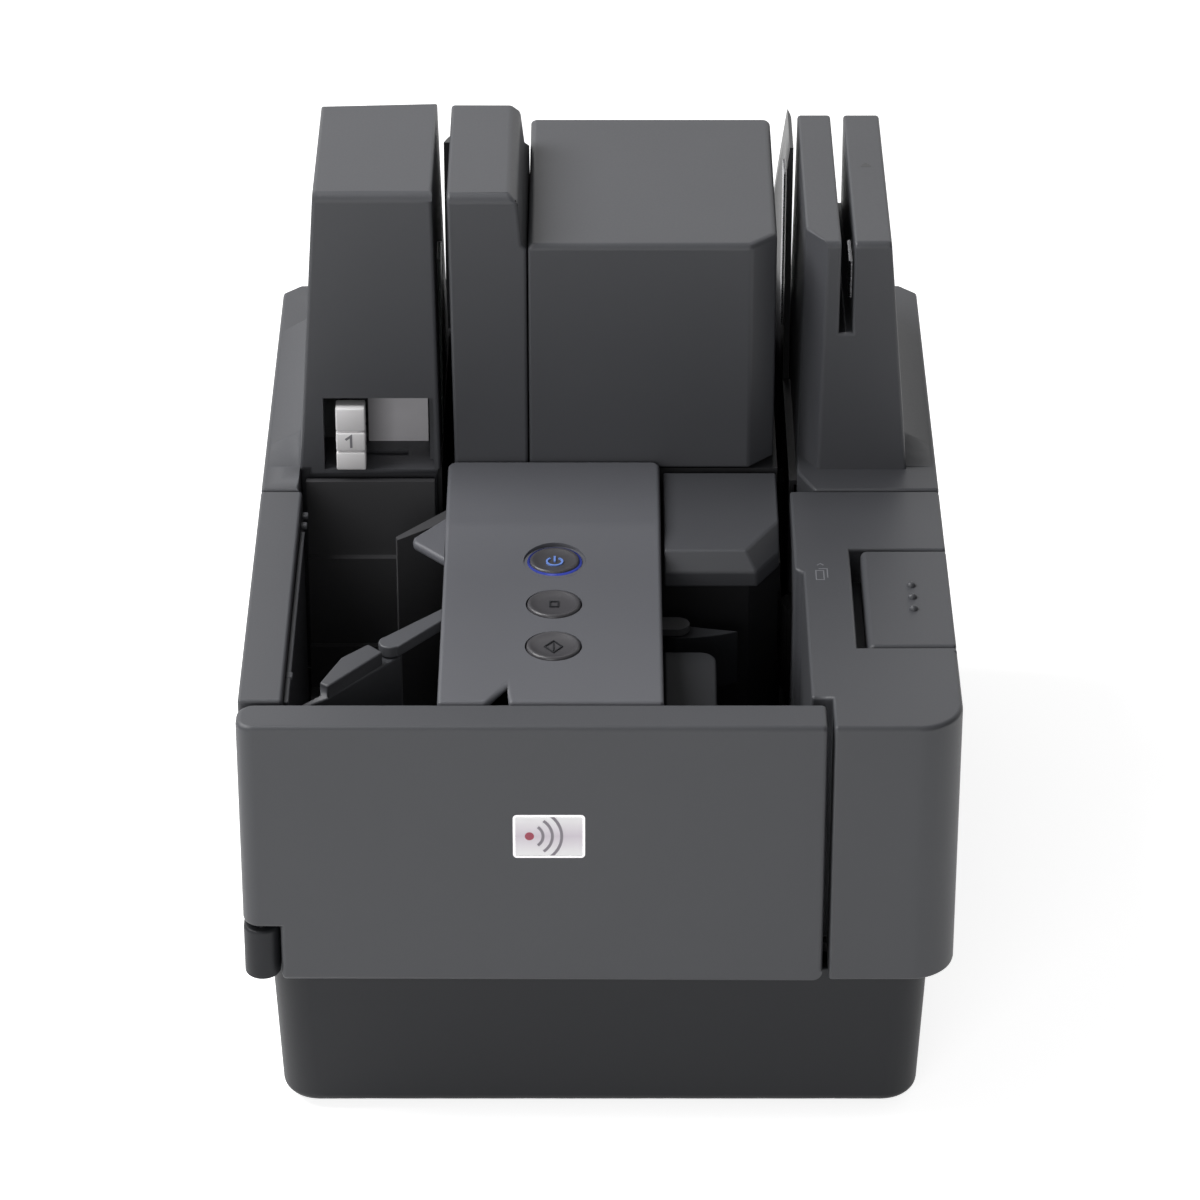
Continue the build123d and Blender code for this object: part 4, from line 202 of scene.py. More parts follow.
def softened(name, node, body, material, radius, openings=(), weld=0.001):
    """A copy of a CAD piece in its place, its outer edges rounded by radius mm as its tool rounds them.
    The edges inside these boxes, given by two corners, stay crisp, and corners within weld mm are one."""
    form = bmesh.new()
    form.from_mesh(nodes[node].data)
    bmesh.ops.remove_doubles(form, verts=form.verts, dist=weld / 1000)
    bmesh.ops.dissolve_limit(form, angle_limit=radians(0.5), verts=form.verts, edges=form.edges)
    weight = form.edges.layers.float.new("bevel_weight_edge")
    for face in form.faces:
        face.smooth = True
    for edge in form.edges:
        turned = len(edge.link_faces) == 2 and edge.calc_face_angle() > radians(30)
        edge.smooth = not turned
        if turned and edge.is_convex:
            # A strip that is narrower than two radii has no room for a rounding on each side.
            narrowest = min(face.calc_area() for face in edge.link_faces) / edge.calc_length()
            middle = 500 * (edge.verts[0].co + edge.verts[1].co)
            crisp = any(all(a < c < b for a, b, c in zip(*corners, middle)) for corners in openings)
            if narrowest > 2 * radius / 1000 and not crisp:
                edge[weight] = 1.0
                edge.smooth = True
    blank_mesh = bpy.data.meshes.new(name + "_blank")
    form.to_mesh(blank_mesh)
    form.free()
    blank = bpy.data.objects.new(name + "_blank", blank_mesh)
    scene.collection.objects.link(blank)
    rounding = blank.modifiers.new("rounding", "BEVEL")
    rounding.limit_method = "WEIGHT"
    rounding.width = radius / 1000
    rounding.segments = 3
    rounding.use_clamp_overlap = False
    flats = blank.modifiers.new("flats", "WEIGHTED_NORMAL")
    flats.weight = 100
    flats.keep_sharp = True
    seen_from = bpy.context.evaluated_depsgraph_get()
    mesh = bpy.data.meshes.new_from_object(blank.evaluated_get(seen_from))
    mesh.name = name
    bpy.data.objects.remove(blank)
    piece(name, mesh, material, body, (node,))


charcoal = moulded("charcoal_abs", "4A4B4F")
dark = moulded("dark_grey_abs", "2B2C2F", shine=0.22)
softened("base_tub", "base_shell", "chassis", dark, 0.6)


def vulcanised(name, colour):
    """Moulded rubber: nearly black, dull, with the fine bloom and pitting of a cured surface."""
    material = bpy.data.materials.new(name)
    material.use_nodes = True
    tree = material.node_tree
    tree.nodes.clear()
    place = add(tree, "ShaderNodeTexCoord")
    # The bloom lies in patches about 6 mm wide. The pits are drawn 0.45 mm apart, so that they show.
    bloom = add(tree, "ShaderNodeTexNoise",
                {"Vector": place.outputs["Object"], "Scale": 160.0, "Detail": 4.0})
    tint = add(tree, "ShaderNodeMix", {0: bloom.outputs["Fac"], 6: linear(colour), 7: linear("2C2C2E")},
               data_type="RGBA")
    pits = add(tree, "ShaderNodeTexVoronoi", {"Vector": place.outputs["Object"], "Scale": 2200.0})
    relief = add(tree, "ShaderNodeBump",
                 {"Height": pits.outputs["Distance"], "Strength": 0.3, "Distance": 0.00002})
    dull = add(tree, "ShaderNodeMapRange", {"Value": bloom.outputs["Fac"], "To Min": 0.72, "To Max": 0.9})
    skin = add(tree, "ShaderNodeBsdfPrincipled",
               {"Base Color": tint.outputs[2], "Roughness": dull.outputs[0], "Normal": relief.outputs[0]})
    add(tree, "ShaderNodeOutputMaterial", {"Surface": skin.outputs[0]})
    return material


rubber = vulcanised("cured_rubber", "161617")
finish_node("rubber_feet", rubber)


# The metal parts. Screws, pins and pressed plates are bright steel with the fine lines of the roll
# or the lathe; the motor's can is drawn steel plated with zinc.
line_width = 0.15  # mm


def rolled(name, colour, roughness, stretch, metallic=1.0):
    """A metal with fine lines; stretch says how many widths long they are along X, Y and Z. A satin
    face that mirrors little of the room has a lower metallic, so that it shows its own colour."""
    material = bpy.data.materials.new(name)
    material.use_nodes = True
    tree = material.node_tree
    tree.nodes.clear()
    place = add(tree, "ShaderNodeTexCoord")
    drawn = add(tree, "ShaderNodeMapping",
                {"Vector": place.outputs["Object"], "Scale": [1 / s for s in stretch]})
    lines = add(tree, "ShaderNodeTexNoise",
                {"Vector": drawn.outputs[0], "Scale": 1000 / line_width, "Detail": 2.0})
    # Handling leaves duller patches about 11 mm wide.
    wear = add(tree, "ShaderNodeTexNoise",
               {"Vector": place.outputs["Object"], "Scale": 90.0, "Detail": 3.0})
    shade = [0.8 * c for c in linear(colour)[:3]] + [1.0]
    tint = add(tree, "ShaderNodeMix",
               {0: wear.outputs["Fac"], 6: shade, 7: linear(colour)}, data_type="RGBA")
    gloss = add(tree, "ShaderNodeMapRange",
                {"Value": lines.outputs["Fac"], "To Min": roughness - 0.08, "To Max": roughness + 0.08})
    relief = add(tree, "ShaderNodeBump",
                 {"Height": lines.outputs["Fac"], "Strength": 0.15, "Distance": 0.00001})
    skin = add(tree, "ShaderNodeBsdfPrincipled",
               {"Base Color": tint.outputs[2], "Roughness": gloss.outputs[0], "Normal": relief.outputs[0],
                "Metallic": metallic})
    add(tree, "ShaderNodeOutputMaterial", {"Surface": skin.outputs[0]})
    return material


turned_steel = rolled("turned_steel", "B9B9BC", 0.28, (12, 12, 1))
brushed_steel = rolled("brushed_steel", "E2E0E4", 0.55, (1, 1, 30), metallic=0.1)
zinc = rolled("zinc_plate", "A5A9AC", 0.42, (1, 1, 1))
finish_node("base_screws", turned_steel)
finish_node("drive_motor", zinc)


# The electronics. Boards of glass fibre in green solder mask lie in the base and under the console; the
# large one carries rows of small parts, and the power inlet and the data socket at its rear edge.
def solder_mask():
    """Green mask over copper: the tracks under it show as a grid of slightly lighter, raised lines."""
    material = bpy.data.materials.new("solder_mask")
    material.use_nodes = True
    tree = material.node_tree
    tree.nodes.clear()
    place = add(tree, "ShaderNodeTexCoord")
    # Tracks run about 2 mm apart.
    tracks = add(tree, "ShaderNodeTexBrick",
                 {"Vector": place.outputs["Object"], "Scale": 250.0, "Mortar Size": 0.02,
                  "Color1": linear("1E4A31"), "Color2": linear("235538"), "Mortar": linear("2F6B47")})
    # The glass cloth below shows through at about 1.1 mm a thread.
    fibre = add(tree, "ShaderNodeTexNoise", {"Vector": place.outputs["Object"], "Scale": 900.0})
    relief = add(tree, "ShaderNodeBump",
                 {"Height": tracks.outputs["Fac"], "Strength": 0.4, "Distance": 0.00004})
    gloss = add(tree, "ShaderNodeMapRange", {"Value": fibre.outputs["Fac"], "To Min": 0.25, "To Max": 0.4})
    skin = add(tree, "ShaderNodeBsdfPrincipled",
               {"Base Color": tracks.outputs["Color"], "Roughness": gloss.outputs[0],
                "Normal": relief.outputs[0]})
    add(tree, "ShaderNodeOutputMaterial", {"Surface": skin.outputs[0]})
    return material


def grown(name, tree, values, place):
    """The mesh that a Geometry Nodes tree makes with these inputs, moved to a place in mm."""
    seed = bpy.data.objects.new(name + "_seed", bpy.data.meshes.new(name + "_seed"))
    scene.collection.objects.link(seed)
    maker = seed.modifiers.new("maker", "NODES")
    maker.node_group = tree
    for socket in tree.interface.items_tree:
        if socket.item_type == "SOCKET" and socket.in_out == "INPUT":
            maker[socket.identifier] = values[socket.name]
    seen_from = bpy.context.evaluated_depsgraph_get()
    mesh = bpy.data.meshes.new_from_object(seed.evaluated_get(seen_from))
    mesh.name = name
    bpy.data.objects.remove(seed)
    mesh.transform(Matrix.Translation([c / 1000 for c in place]))
    return mesh


def sockets(tree, names):
    """The tree's named inputs and its one output, and the node that gives the inputs inside it."""
    for name, kind in names.items():
        tree.interface.new_socket(name, in_out="INPUT", socket_type=kind)
    tree.interface.new_socket("Mesh", in_out="OUTPUT", socket_type="NodeSocketGeometry")
    return add(tree, "NodeGroupInput").outputs


row_of_parts = bpy.data.node_groups.new("row_of_parts", "GeometryNodeTree")
given = sockets(row_of_parts, {"Count": "NodeSocketInt", "Step": "NodeSocketVector",
                               "Size": "NodeSocketVector", "Finish": "NodeSocketMaterial"})
line = add(row_of_parts, "GeometryNodeMeshLine", {"Count": given["Count"], "Offset": given["Step"]})
part = add(row_of_parts, "GeometryNodeMeshCube", {"Size": given["Size"]})
row = add(row_of_parts, "GeometryNodeInstanceOnPoints",
          {"Points": line.outputs[0], "Instance": part.outputs[0]})
real = add(row_of_parts, "GeometryNodeRealizeInstances", {0: row.outputs[0]})
painted = add(row_of_parts, "GeometryNodeSetMaterial", {0: real.outputs[0], "Material": given["Finish"]})
add(row_of_parts, "NodeGroupOutput", {0: painted.outputs[0]})

board = solder_mask()
finish_node("main_board", board)
finish_node("switch_board", board)
board_top = 14.0
for name, count, step, size, first in (
    ("board_capacitors", 12, 5.0, (2.0, 1.2, 1.1), (-30, 30)),
    ("board_resistors", 16, 4.0, (1.6, 0.8, 0.5), (-32, 60)),
    ("board_pins", 14, 2.5, (0.6, 5.0, 0.6), (-15, -8)),
):
    mesh = grown(name, row_of_parts, {"Count": count, "Step": (step / 1000, 0, 0), "Finish": zinc,
                                      "Size": [s / 1000 for s in size]}, (*first, board_top + size[2] / 2))
    piece(name, mesh, zinc, "chassis")
black = moulded("black_abs", "2A2A2C", roughness=0.38)
socket_abs = moulded("white_socket_nylon", "C9C7C0", roughness=0.42)
finish_node("power_jack", black)
finish_node("data_socket", socket_abs)


# The drive: a ribbed steel pulley on the motor, one flat rubber belt round all the pulleys, and rollers
# whose tyres have moulded ribs that grip the paper. Each roller turns on a ground steel shaft.
def lathe(name, profile, centre, sides=48):
    """A turned form: its outline as radius and height in mm, from the axis below to the axis above,
    or round a ring's section and back to where it starts."""
    points, rings, faces = [], [], []
    for i, (radius, height) in enumerate(profile):
        if i and (radius, height) == profile[0]:
            rings.append(rings[0])
            continue
        count = sides if radius else 1
        rings.append(range(len(points), len(points) + count))
        for side in range(count):
            turn = 2 * pi * side / sides
            spot = (centre[0] + radius * cos(turn), centre[1] + radius * sin(turn), height)
            points.append([c / 1000 for c in spot])
    for low, high in zip(rings, rings[1:]):
        for i in range(sides):
            j = (i + 1) % sides
            face = [low[i % len(low)], low[j % len(low)], high[j % len(high)], high[i % len(high)]]
            faces.append(list(dict.fromkeys(face)))
    mesh = bpy.data.meshes.new(name)
    mesh.from_pydata(points, [], faces)
    return smoothed(mesh)


ribbed_tyres = bpy.data.node_groups.new("ribbed_tyres", "GeometryNodeTree")
tree = ribbed_tyres
given = sockets(tree, {"Ribs": "NodeSocketInt", "Radius": "NodeSocketFloat",
                       "Rib Depth": "NodeSocketFloat", "Rib Width": "NodeSocketFloat",
                       "Height": "NodeSocketFloat", "Tyres": "NodeSocketInt",
                       "Pitch": "NodeSocketFloat", "Finish": "NodeSocketMaterial"})
half_rib = add(tree, "ShaderNodeMath", {0: given["Rib Depth"], 1: 0.5}, operation="MULTIPLY")
rib_place = add(tree, "ShaderNodeMath", {0: given["Radius"], 1: half_rib.outputs[0]}, operation="SUBTRACT")
core_size = add(tree, "ShaderNodeMath", {0: given["Radius"], 1: given["Rib Depth"]}, operation="SUBTRACT")
# The core reaches 0.1 mm into the ribs, so that no gap opens between them.
bite = add(tree, "ShaderNodeMath", {0: core_size.outputs[0], 1: 0.0001}, operation="ADD")
circle = add(tree, "GeometryNodeMeshCircle", {"Vertices": given["Ribs"], "Radius": rib_place.outputs[0]})
rib_size = add(tree, "ShaderNodeCombineXYZ",
               {0: given["Rib Depth"], 1: given["Rib Width"], 2: given["Height"]})
rib = add(tree, "GeometryNodeMeshCube", {"Size": rib_size.outputs[0]})
index = add(tree, "GeometryNodeInputIndex")
part_turn = add(tree, "ShaderNodeMath", {0: 2 * pi, 1: given["Ribs"]}, operation="DIVIDE")
turn = add(tree, "ShaderNodeMath",
           {0: index.outputs[0], 1: part_turn.outputs[0]}, operation="MULTIPLY")
facing = add(tree, "ShaderNodeCombineXYZ", {2: turn.outputs[0]})
ribs = add(tree, "GeometryNodeInstanceOnPoints",
           {"Points": circle.outputs[0], "Instance": rib.outputs[0], "Rotation": facing.outputs[0]})
core = add(tree, "GeometryNodeMeshCylinder", {"Radius": bite.outputs[0], "Depth": given["Height"]})
tyre = add(tree, "GeometryNodeJoinGeometry")
tree.links.new(ribs.outputs[0], tyre.inputs[0])
tree.links.new(core.outputs[0], tyre.inputs[0])
rise = add(tree, "ShaderNodeCombineXYZ", {2: given["Pitch"]})
stack = add(tree, "GeometryNodeMeshLine", {"Count": given["Tyres"], "Offset": rise.outputs[0]})
tyres = add(tree, "GeometryNodeInstanceOnPoints",
            {"Points": stack.outputs[0], "Instance": tyre.outputs[0]})
real = add(tree, "GeometryNodeRealizeInstances", {0: tyres.outputs[0]})
painted = add(tree, "GeometryNodeSetMaterial", {0: real.outputs[0], "Material": given["Finish"]})
add(tree, "NodeGroupOutput", {0: painted.outputs[0]})


def roller(node, radius, ribs, foot, height, shaft, finish, tyres=1, pitch=0.0, pulley=()):
    """A roller in place of its CAD piece: ribbed tyres of this height that start at foot, one pitch
    apart, on a steel shaft of this radius. A pulley on it has a radius, a bottom and a top."""
    low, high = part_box(node)
    centre = [500 * (low[i] + high[i]) for i in (0, 1)]
    values = {"Ribs": ribs, "Radius": radius / 1000, "Rib Depth": 0.0005, "Rib Width": 0.0009,
              "Height": height / 1000, "Tyres": tyres, "Pitch": pitch / 1000, "Finish": finish}
    mesh = grown(node + "_tyres", ribbed_tyres, values, (*centre, foot + height / 2))
    piece(node + "_tyres", mesh, finish, node, (node,))
    profile = [(0, 1000 * low[2]), (shaft, 1000 * low[2])]
    if pulley:
        rim, bottom, top = pulley
        profile += [(shaft, bottom), (rim, bottom), (rim, top), (shaft, top)]
    profile += [(shaft, 1000 * high[2]), (0, 1000 * high[2])]
    piece(node + "_shaft", lathe(node + "_shaft", profile, centre, 24), turned_steel, node)


finish_node("drive_belt", rubber)
drive_foot = 60.0
belt_low, belt_high = 48.0, 52.0
for node in ("feed_roller", "rear_right_roller", "rear_left_roller", "exit_roller"):
    roller(node, radius=6.0, ribs=32, foot=drive_foot, height=12.0, shaft=1.5, finish=rubber,
           tyres=2, pitch=24.0, pulley=(6.0, belt_low, belt_high))
for node in ("separation_roller", "right_pinch_roller", "left_pinch_roller"):
    roller(node, radius=5.0, ribs=28, foot=drive_foot + 7.0, height=24.0, shaft=1.2, finish=rubber)
roller("motor_pulley", radius=4.5, ribs=18, foot=belt_low, height=belt_high - belt_low, shaft=1.5,
       finish=turned_steel)


# The frame and the track. One black ABS frame spans the base; the floor, guides and liners of the
# paper track are screwed to it, black and half gloss so that paper slides and stray light dies. The
# heads and the guide strip are ground steel, and the scan modules look through panes of glass.
for node in ("main_frame", "track_floor_plate", "island_frame", "rear_track_guide", "left_track_liner",
             "right_track_liner", "island_scan_module", "unit_scan_module", "separation_bracket",
             "left_pinch_bracket", "right_pinch_bracket", "print_cartridge"):
    finish_node(node, black)
for node in ("magnetic_head", "card_reader_head", "guide_strip", "hinge_pins"):
    finish_node(node, turned_steel)
softened("hinge_knuckle", "cover_knuckle", "chassis", dark, 0.8)


def scan_glass():
    """Clear float glass with a faint grey-green body, polished, with a trace of dust that dulls it."""
    material = bpy.data.materials.new("scan_glass")
    material.use_nodes = True
    tree = material.node_tree
    tree.nodes.clear()
    place = add(tree, "ShaderNodeTexCoord")
    # The dust lies in specks about 2.5 mm across.
    dust = add(tree, "ShaderNodeTexNoise",
               {"Vector": place.outputs["Object"], "Scale": 400.0, "Detail": 3.0})
    gloss = add(tree, "ShaderNodeMapRange", {"Value": dust.outputs["Fac"], "From Min": 0.5, "From Max": 0.8,
                                             "To Min": 0.02, "To Max": 0.15})
    skin = add(tree, "ShaderNodeBsdfPrincipled",
               {"Base Color": linear("D6E0DC"), "Roughness": gloss.outputs[0], "IOR": 1.52,
                "Transmission Weight": 0.9})
    add(tree, "ShaderNodeOutputMaterial", {"Surface": skin.outputs[0]})
    return material


glass = scan_glass()
finish_node("island_scan_glass", glass)
finish_node("unit_scan_glass", glass)


# The two bays. The tray is a thin black moulding; the feeder frame, its pillar and the sprung press
# arm stand in the right bay, and the stacker's bar and paddle reach into the left one.
def blocks(name, boxes, radius):
    """Boxes in mm, given by two opposite corners, with every edge rounded by radius mm."""
    form = bmesh.new()
    for low, high in boxes:
        for vertex in bmesh.ops.create_cube(form, size=1)["verts"]:
            vertex.co = Vector([(a + b) / 2 + c * (b - a) for a, b, c in zip(low, high, vertex.co)]) / 1000
    bmesh.ops.bevel(form, geom=form.edges[:], offset=radius / 1000, segments=3, profile=0.5, affect="EDGES")
    mesh = bpy.data.meshes.new(name)
    form.to_mesh(mesh)
    form.free()
    return smoothed(mesh)


grey = moulded("grey_nylon", "55565A", roughness=0.44)
finish_node("bay_tray", moulded("tray_abs", "464648", roughness=0.5))
finish_node("feeder_frame", black)
softened("hopper_post", "hopper_pillar", "chassis", dark, 0.7)
softened("pressing_arm", "press_arm", "press_arm", dark, 0.3)
softened("stacker_bar", "stacker_arm", "chassis", grey, 0.4)
softened("paddle", "stack_paddle", "stack_paddle", charcoal, 0.5)
# A lip runs along the inner edge of the left panel, with three small snap pegs on it.
lip_left, lip_low = -74.5, 112.2
lip = [((lip_left, -97.0, lip_low), (lip_left + 1.2, -16.0, lip_low + 1.0))]
for peg_front, peg_rear in ((-13.5, -11.5), (-8.5, -6.5), (-86.0, -83.5)):
    lip.append(((lip_left, peg_front, lip_low), (lip_left + 1.6, peg_rear, lip_low + 1.2)))
piece("bay_lip", blocks("bay_lip", lip, 0.25), grey, "chassis")


# The side panels. Each is a charcoal ABS shell with a broad flat top; the right one carries the
# release latch in a pocket, and beside it a small raised mark that shows a pile of documents.
def band(name, paths, width, low, high, upright=False):
    """Strips of a width in mm along paths in X and Y, given a thickness between two heights. Upright
    ones have their paths in X and Z as seen from the front, and the heights measure towards the front."""
    points, faces = [], []
    for path, closed in paths:
        start, count = len(points), len(path)
        for i, spot in enumerate(path):
            here = Vector(spot)
            last = here - Vector(path[i - 1]) if i or closed else Vector(path[i + 1]) - here
            after = Vector(path[(i + 1) % count]) - here if i + 1 < count or closed else last
            across = (last.normalized() + after.normalized()).orthogonal().normalized()
            side = last.normalized().orthogonal()
            reach = across * width / 2 / max(0.4, across.dot(side))
            for level in (low, high):
                points += [(*(here + reach), level), (*(here - reach), level)]
        for i in range(count if closed else count - 1):
            a, b = start + 4 * i, start + 4 * ((i + 1) % count)
            faces += [(a + 2, a + 3, b + 3, b + 2), (a, b, b + 1, a + 1), (a, a + 2, b + 2, b),
                      (a + 1, b + 1, b + 3, a + 3)]
        if not closed:
            b = start + 4 * (count - 1)
            faces += [(start, start + 1, start + 3, start + 2), (b, b + 2, b + 3, b + 1)]
    if upright:
        points = [(x, -level, z) for x, z, level in points]
    mesh = bpy.data.meshes.new(name)
    mesh.from_pydata([[c / 1000 for c in p] for p in points], [], faces)
    return smoothed(mesh)


def arc(centre, radius, first, last, steps=24):
    """Points on an arc, counter-clockwise, its angles in degrees."""
    turns = [radians(first + (last - first) * i / steps) for i in range(steps + 1)]
    return [(centre[0] + radius * cos(t), centre[1] + radius * sin(t)) for t in turns]


softened("left_panel", "left_side_panel", "chassis", charcoal, 0.8)
softened("right_panel", "right_front_panel", "chassis", charcoal, 0.8)
softened("latch", "release_latch", "release_latch", charcoal, 1.0)
deck = 116.0
sheets = [([(52.7, -44.6), (54.6, -44.6), (54.6, -40.2), (52.7, -40.2)], True),
          ([(53.4, -39.3), (55.5, -39.3), (55.5, -43.6)], False),
          ([(53.1, -37.6), (53.9, -36.8), (54.7, -37.6)], False)]
pale = moulded("pad_printed_grey", "7A7B80", roughness=0.5)
mark = band("document_mark", sheets, 0.28, deck - 0.1, deck + 0.06)
piece("document_mark", mark, pale, "chassis")


# The console. It is one arched ABS panel with three dished push buttons; a clear ring round the
# power button carries the blue light of a lamp below, which is strongest on the side of the user.
button_wells = [((-20, -85, 110), (-2, -27, 120))]
# The console's grey is set lighter than the charcoal of the panels beside it, to match how much brighter
# the console shows.
console_grey = moulded("console_grey_abs", "5F6065")
softened("console", "console_panel", "chassis", console_grey, 1.0, button_wells)
button_abs = moulded("button_abs", "49484B", roughness=0.34, grain=0.4, depth=0.006)
for node, radius in (("power_button", 6.15), ("stop_button", 6.5), ("start_button", 6.5)):
    low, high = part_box(node)
    centre = [500 * (low[i] + high[i]) for i in (0, 1)]
    top = 1000 * high[2]
    stem = [(0, 109.3), (2, 109.3), (2, 112.2)]
    flange = [(8, 112.2), (8, 113.2), (radius, 113.2)]
    rim = [(radius, top - 0.8), (radius - 0.1, top - 0.35), (radius - 0.35, top - 0.08),
           (radius - 0.7, top)]
    dish = [(radius - 1.1, top - 0.1), (radius - 1.7, top - 0.36), (radius - 3.2, top - 0.55),
            (0, top - 0.65)]
    cap = lathe(node + "_cap", stem + flange + rim + dish, centre, 64)
    piece(node + "_cap", cap, button_abs, node, (node,))


def lit_ring():
    """Clear acrylic lit from below: blue, bright at the front of the ring and faint at its back."""
    material = bpy.data.materials.new("lit_acrylic")
    material.use_nodes = True
    tree = material.node_tree
    tree.nodes.clear()
    place = add(tree, "ShaderNodeTexCoord")
    split = add(tree, "ShaderNodeSeparateXYZ", {0: place.outputs["Object"]})
    front = add(tree, "ShaderNodeMapRange", {"Value": split.outputs["Y"], "From Min": -0.0425,
                                             "From Max": -0.0305, "To Min": 0.45, "To Max": 0.04})
    # Moulding leaves a haze in patches about 2 mm wide.
    haze = add(tree, "ShaderNodeTexNoise", {"Vector": place.outputs["Object"], "Scale": 500.0})
    gloss = add(tree, "ShaderNodeMapRange", {"Value": haze.outputs["Fac"], "To Min": 0.2, "To Max": 0.35})
    skin = add(tree, "ShaderNodeBsdfPrincipled",
               {"Base Color": linear("1E2240"), "Roughness": gloss.outputs[0],
                "Emission Color": linear("4A5DE0"), "Emission Strength": front.outputs[0]})
    add(tree, "ShaderNodeOutputMaterial", {"Surface": skin.outputs[0]})
    return material


buttons_x = -11.1
ring_place = (buttons_x, -36.0)
ring_seat = 113.7
glowing = [(6.25, ring_seat), (6.7, ring_seat), (6.7, deck + 0.25), (6.6, deck + 0.4), (6.35, deck + 0.4),
           (6.25, deck + 0.25), (6.25, ring_seat)]
piece("glow_ring", lathe("glow_ring", glowing, ring_place, 64), lit_ring(),
      "chassis", ("power_ring",))
collar = [(6.75, ring_seat), (7.6, ring_seat), (7.6, deck), (6.75, deck), (6.75, ring_seat)]
piece("ring_collar", lathe("ring_collar", collar, ring_place, 64), console_grey,
      "chassis")
lit_print = moulded("lit_print", "6F8FD8", roughness=0.4)
power_mark = [(arc((buttons_x, -36.4), 1.9, 125, 415), False),
              ([(buttons_x, -36.6), (buttons_x, -33.9)], False)]
piece("power_mark", band("power_mark", power_mark, 0.5, deck + 0.2, deck + 0.52), lit_print,
      "power_button")
stop_mark = [([(buttons_x - 1, -57.5), (buttons_x + 1, -57.5), (buttons_x + 1, -55.1),
               (buttons_x - 1, -55.1)], True)]
piece("stop_mark", band("stop_mark", stop_mark, 0.35, deck - 0.1, deck + 0.16), dark,
      "stop_button")
start_mark = [([(buttons_x, -79.0), (buttons_x + 2.1, -76.2), (buttons_x, -73.6),
                (buttons_x - 2.1, -76.2)], True), ([(buttons_x, -78.2), (buttons_x, -74.4)], False)]
piece("start_mark", band("start_mark", start_mark, 0.3, deck - 0.1, deck + 0.18), dark,
      "start_button")


# The feed cover and the rear shell. The cover roofs the feed slot beside the console; the shell closes
# the whole rear above the tub. Both are charcoal ABS mouldings with softly rounded edges.
softened("feed_lid", "feed_cover", "chassis", charcoal, 0.6)
softened("rear_shell", "rear_body", "chassis", charcoal, 0.8)


# The front door with its badge. The door is a charcoal ABS shell that swings on the knuckle at its
# left; the badge is a satin aluminium plate with a polished rim, a printed disc and three printed arcs.
door_corner = [((50, -114, 44), (54, -100, 48))]
softened("door", "front_cover", "front_cover", charcoal, 1.2, door_corner)
badge_left, badge_right, badge_low, badge_top = -20.5, -3.5, 80.0, 92.0
badge_back, badge_face, badge_front = 112.4, 112.9, 113.0


def satin_plate():
    """Satin anodised aluminium: silver with a lilac cast, and a painted reflection that leaves it darker
    across its middle than at its top and bottom.
    """
    material = bpy.data.materials.new("satin_aluminium")
    material.use_nodes = True
    tree = material.node_tree
    tree.nodes.clear()
    place = add(tree, "ShaderNodeTexCoord")
    split = add(tree, "ShaderNodeSeparateXYZ", {0: place.outputs["Object"]})
    height = add(tree, "ShaderNodeMapRange",
                 {"Value": split.outputs["Z"], "From Min": badge_low / 1000, "From Max": badge_top / 1000})
    # Painted reflection: the colour runs from white at the plate's bottom to a darker grey across its
    # middle and back to white at its top.
    painted_sheen = add(tree, "ShaderNodeValToRGB", {0: height.outputs[0]})
    stops = painted_sheen.color_ramp.elements
    stops[0].color = linear("FFFFFF")
    stops[1].color = linear("FFFFFF")
    stops.new(0.5).color = linear("DDD5DE")
    # Etching before the anodising leaves a satin grain about 0.3 mm wide.
    grain = add(tree, "ShaderNodeTexNoise", {"Vector": place.outputs["Object"], "Scale": 3000.0})
    gloss = add(tree, "ShaderNodeMapRange", {"Value": grain.outputs["Fac"], "To Min": 0.4, "To Max": 0.55})
    skin = add(tree, "ShaderNodeBsdfPrincipled",
               {"Base Color": painted_sheen.outputs[0], "Roughness": gloss.outputs[0], "Metallic": 0.35})
    add(tree, "ShaderNodeOutputMaterial", {"Surface": skin.outputs[0]})
    return material


rim_width = 0.6
corner = 1.0
ends = [(badge_right - corner, badge_top - corner, 0), (badge_left + corner, badge_top - corner, 90),
        (badge_left + corner, badge_low + corner, 180), (badge_right - corner, badge_low + corner, 270)]
rim_path = [p for x, z, turn in ends for p in arc((x, z), corner - rim_width / 2, turn, turn + 90, 6)]
rim = band("badge_rim", [(rim_path, True)], rim_width, badge_back, badge_front, upright=True)
polished = rolled("polished_rim", "F6F4F6", 0.25, (1, 1, 1), metallic=0.8)
piece("badge_rim", rim, polished, "front_cover", ("badge",))
middle = (badge_low + badge_top) / 2
field = [([(badge_left + 0.5, middle), (badge_right - 0.5, middle)], False)]
piece("badge_field", band("badge_field", field, 11.2, badge_back, badge_face, upright=True), satin_plate(),
      "front_cover")
disc_place = (-16.6, middle)
ink_top = badge_face + 0.07
disc = [(arc(disc_place, 0.55, 0, 345, 23), True)]
piece("badge_disc", band("badge_disc", disc, 1.06, badge_face, ink_top, upright=True),
      moulded("red_print", "C65B70", roughness=0.4), "front_cover")
waves = [(arc(disc_place, radius, -52, 52), False) for radius in (3.2, 5.4, 7.6)]
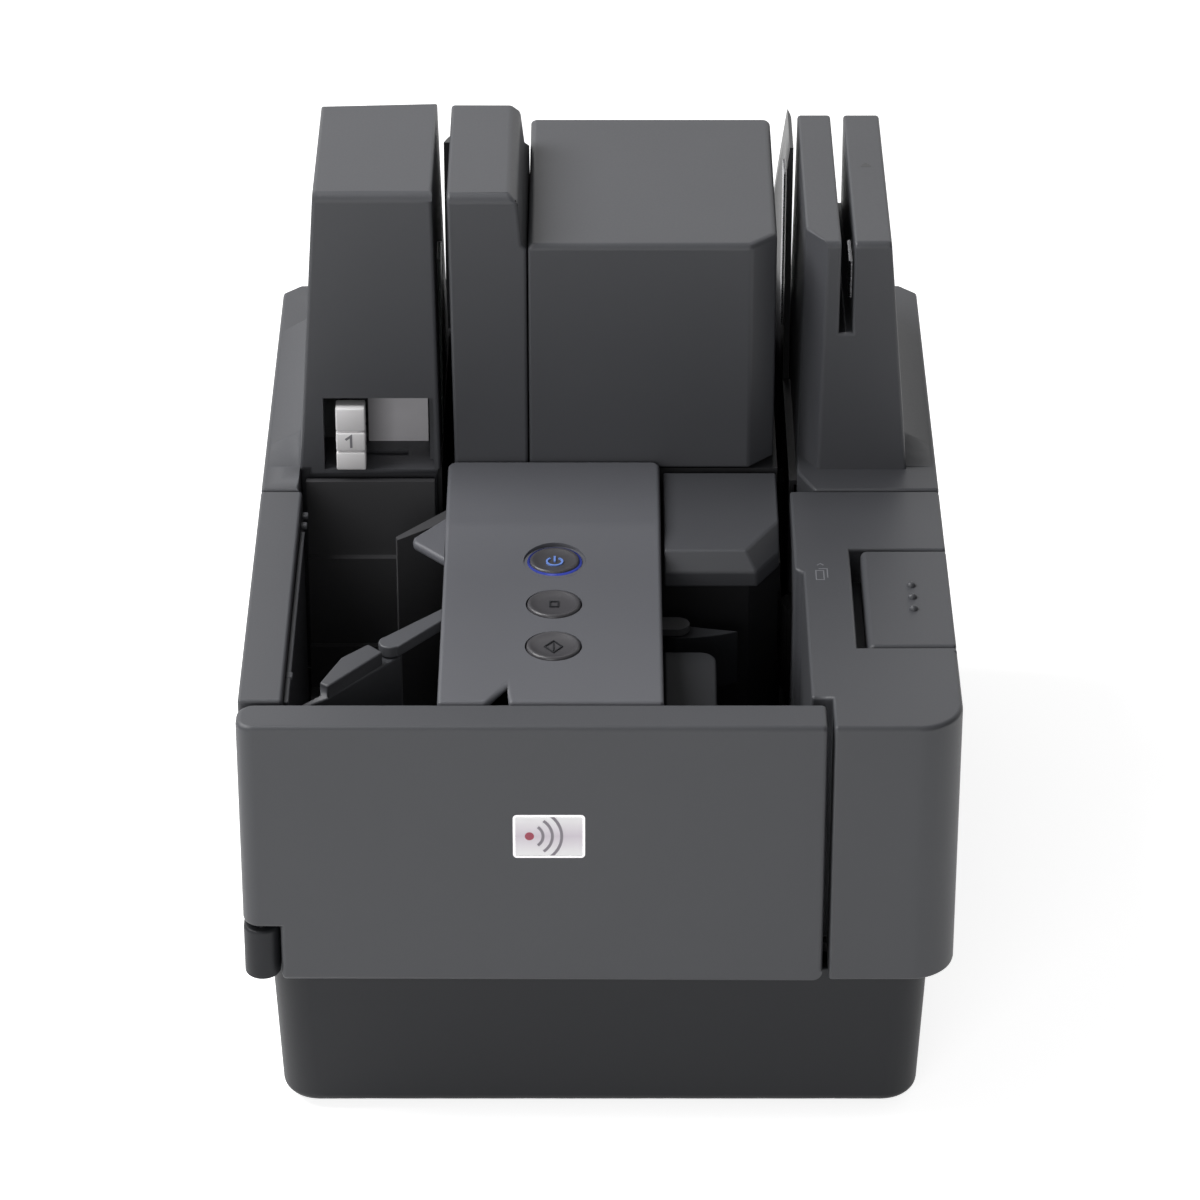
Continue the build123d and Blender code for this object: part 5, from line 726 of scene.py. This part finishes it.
piece("badge_waves", band("badge_waves", waves, 0.7, badge_face, ink_top, upright=True),
      moulded("grey_print", "A9A2AC", roughness=0.4), "front_cover")


# The block between the tracks. The mid tower is fixed; beside it a hinged box cover closes over the
# print cartridge. Both are charcoal ABS shells with rounded edges.
softened("middle_tower", "mid_tower", "chassis", charcoal, 0.9)
softened("box_lid", "box_cover", "box_cover", charcoal, 0.75)


# The left unit, a charcoal ABS tower that tilts outwards. Its front window shows a brushed steel plate
# and the lock lever, a white ABS slider made as three stacked blocks with a figure on the middle one.
window = [((-70, 10, 115), (-40.5, 30, 137))]
softened("left_tower", "left_unit", "left_unit", charcoal, 0.9, window, weld=0.45)
finish_node("window_plate", brushed_steel)
white = moulded("white_abs", "FCFAFB", roughness=0.4, cloud=0.02)
left, right, front, rear = -66.4, -59.0, 9.6, 14.8
runner_rear = 20.9
lever = [((left, front + 0.1, 116.3), (right, rear, 121.4)), ((left, front, 121.8), (right, rear, 127.0)),
         ((left, front + 0.1, 127.4), (right, rear, 133.9))]
# A core joins the blocks, and a runner behind them rides in the unit's floor.
lever += [((left + 1, front + 1, 117.0), (right - 1, rear, 133)),
          ((left + 2, rear - 0.5, 116.3), (right - 2, runner_rear, 119.3)),
          ((left + 2, 18.2, 115.1), (right - 2, runner_rear, 117))]
piece("lever", blocks("lever", lever, 0.45), white, "lock_lever", ("lock_lever",))
# The figure is a pale relief on the lever; it is drawn in grey, a painted shade that stands in for the
# shadow along the relief.
figure = [([(-64.0, 125.1), (-62.6, 126.1), (-62.6, 122.8)], False)]
piece("lever_figure", band("lever_figure", figure, 0.6, -front, 0.06 - front, upright=True),
      moulded("painted_relief_shade", "8E8D92"), "lock_lever")


# The right unit, a charcoal ABS tower that tilts outwards when the latch is pushed. A card slot runs
# down its middle over a steel reading head, and a small arrow engraved on top shows which way a card goes;
# its strokes are drawn as thin black lines laid on the top, a painted shade for the engraving.
softened("right_tower", "right_unit", "right_unit", charcoal, 0.8)
unit_top = 179.6
strokes = [([(66.1, 54.2), (68.7, 54.2)], False), ([(66.5, 55.0), (68.3, 55.0)], False),
           ([(67.0, 55.8), (67.8, 55.8)], False)]
piece("card_arrow", band("card_arrow", strokes, 0.8, unit_top, unit_top + 0.12), black,
      "right_unit")
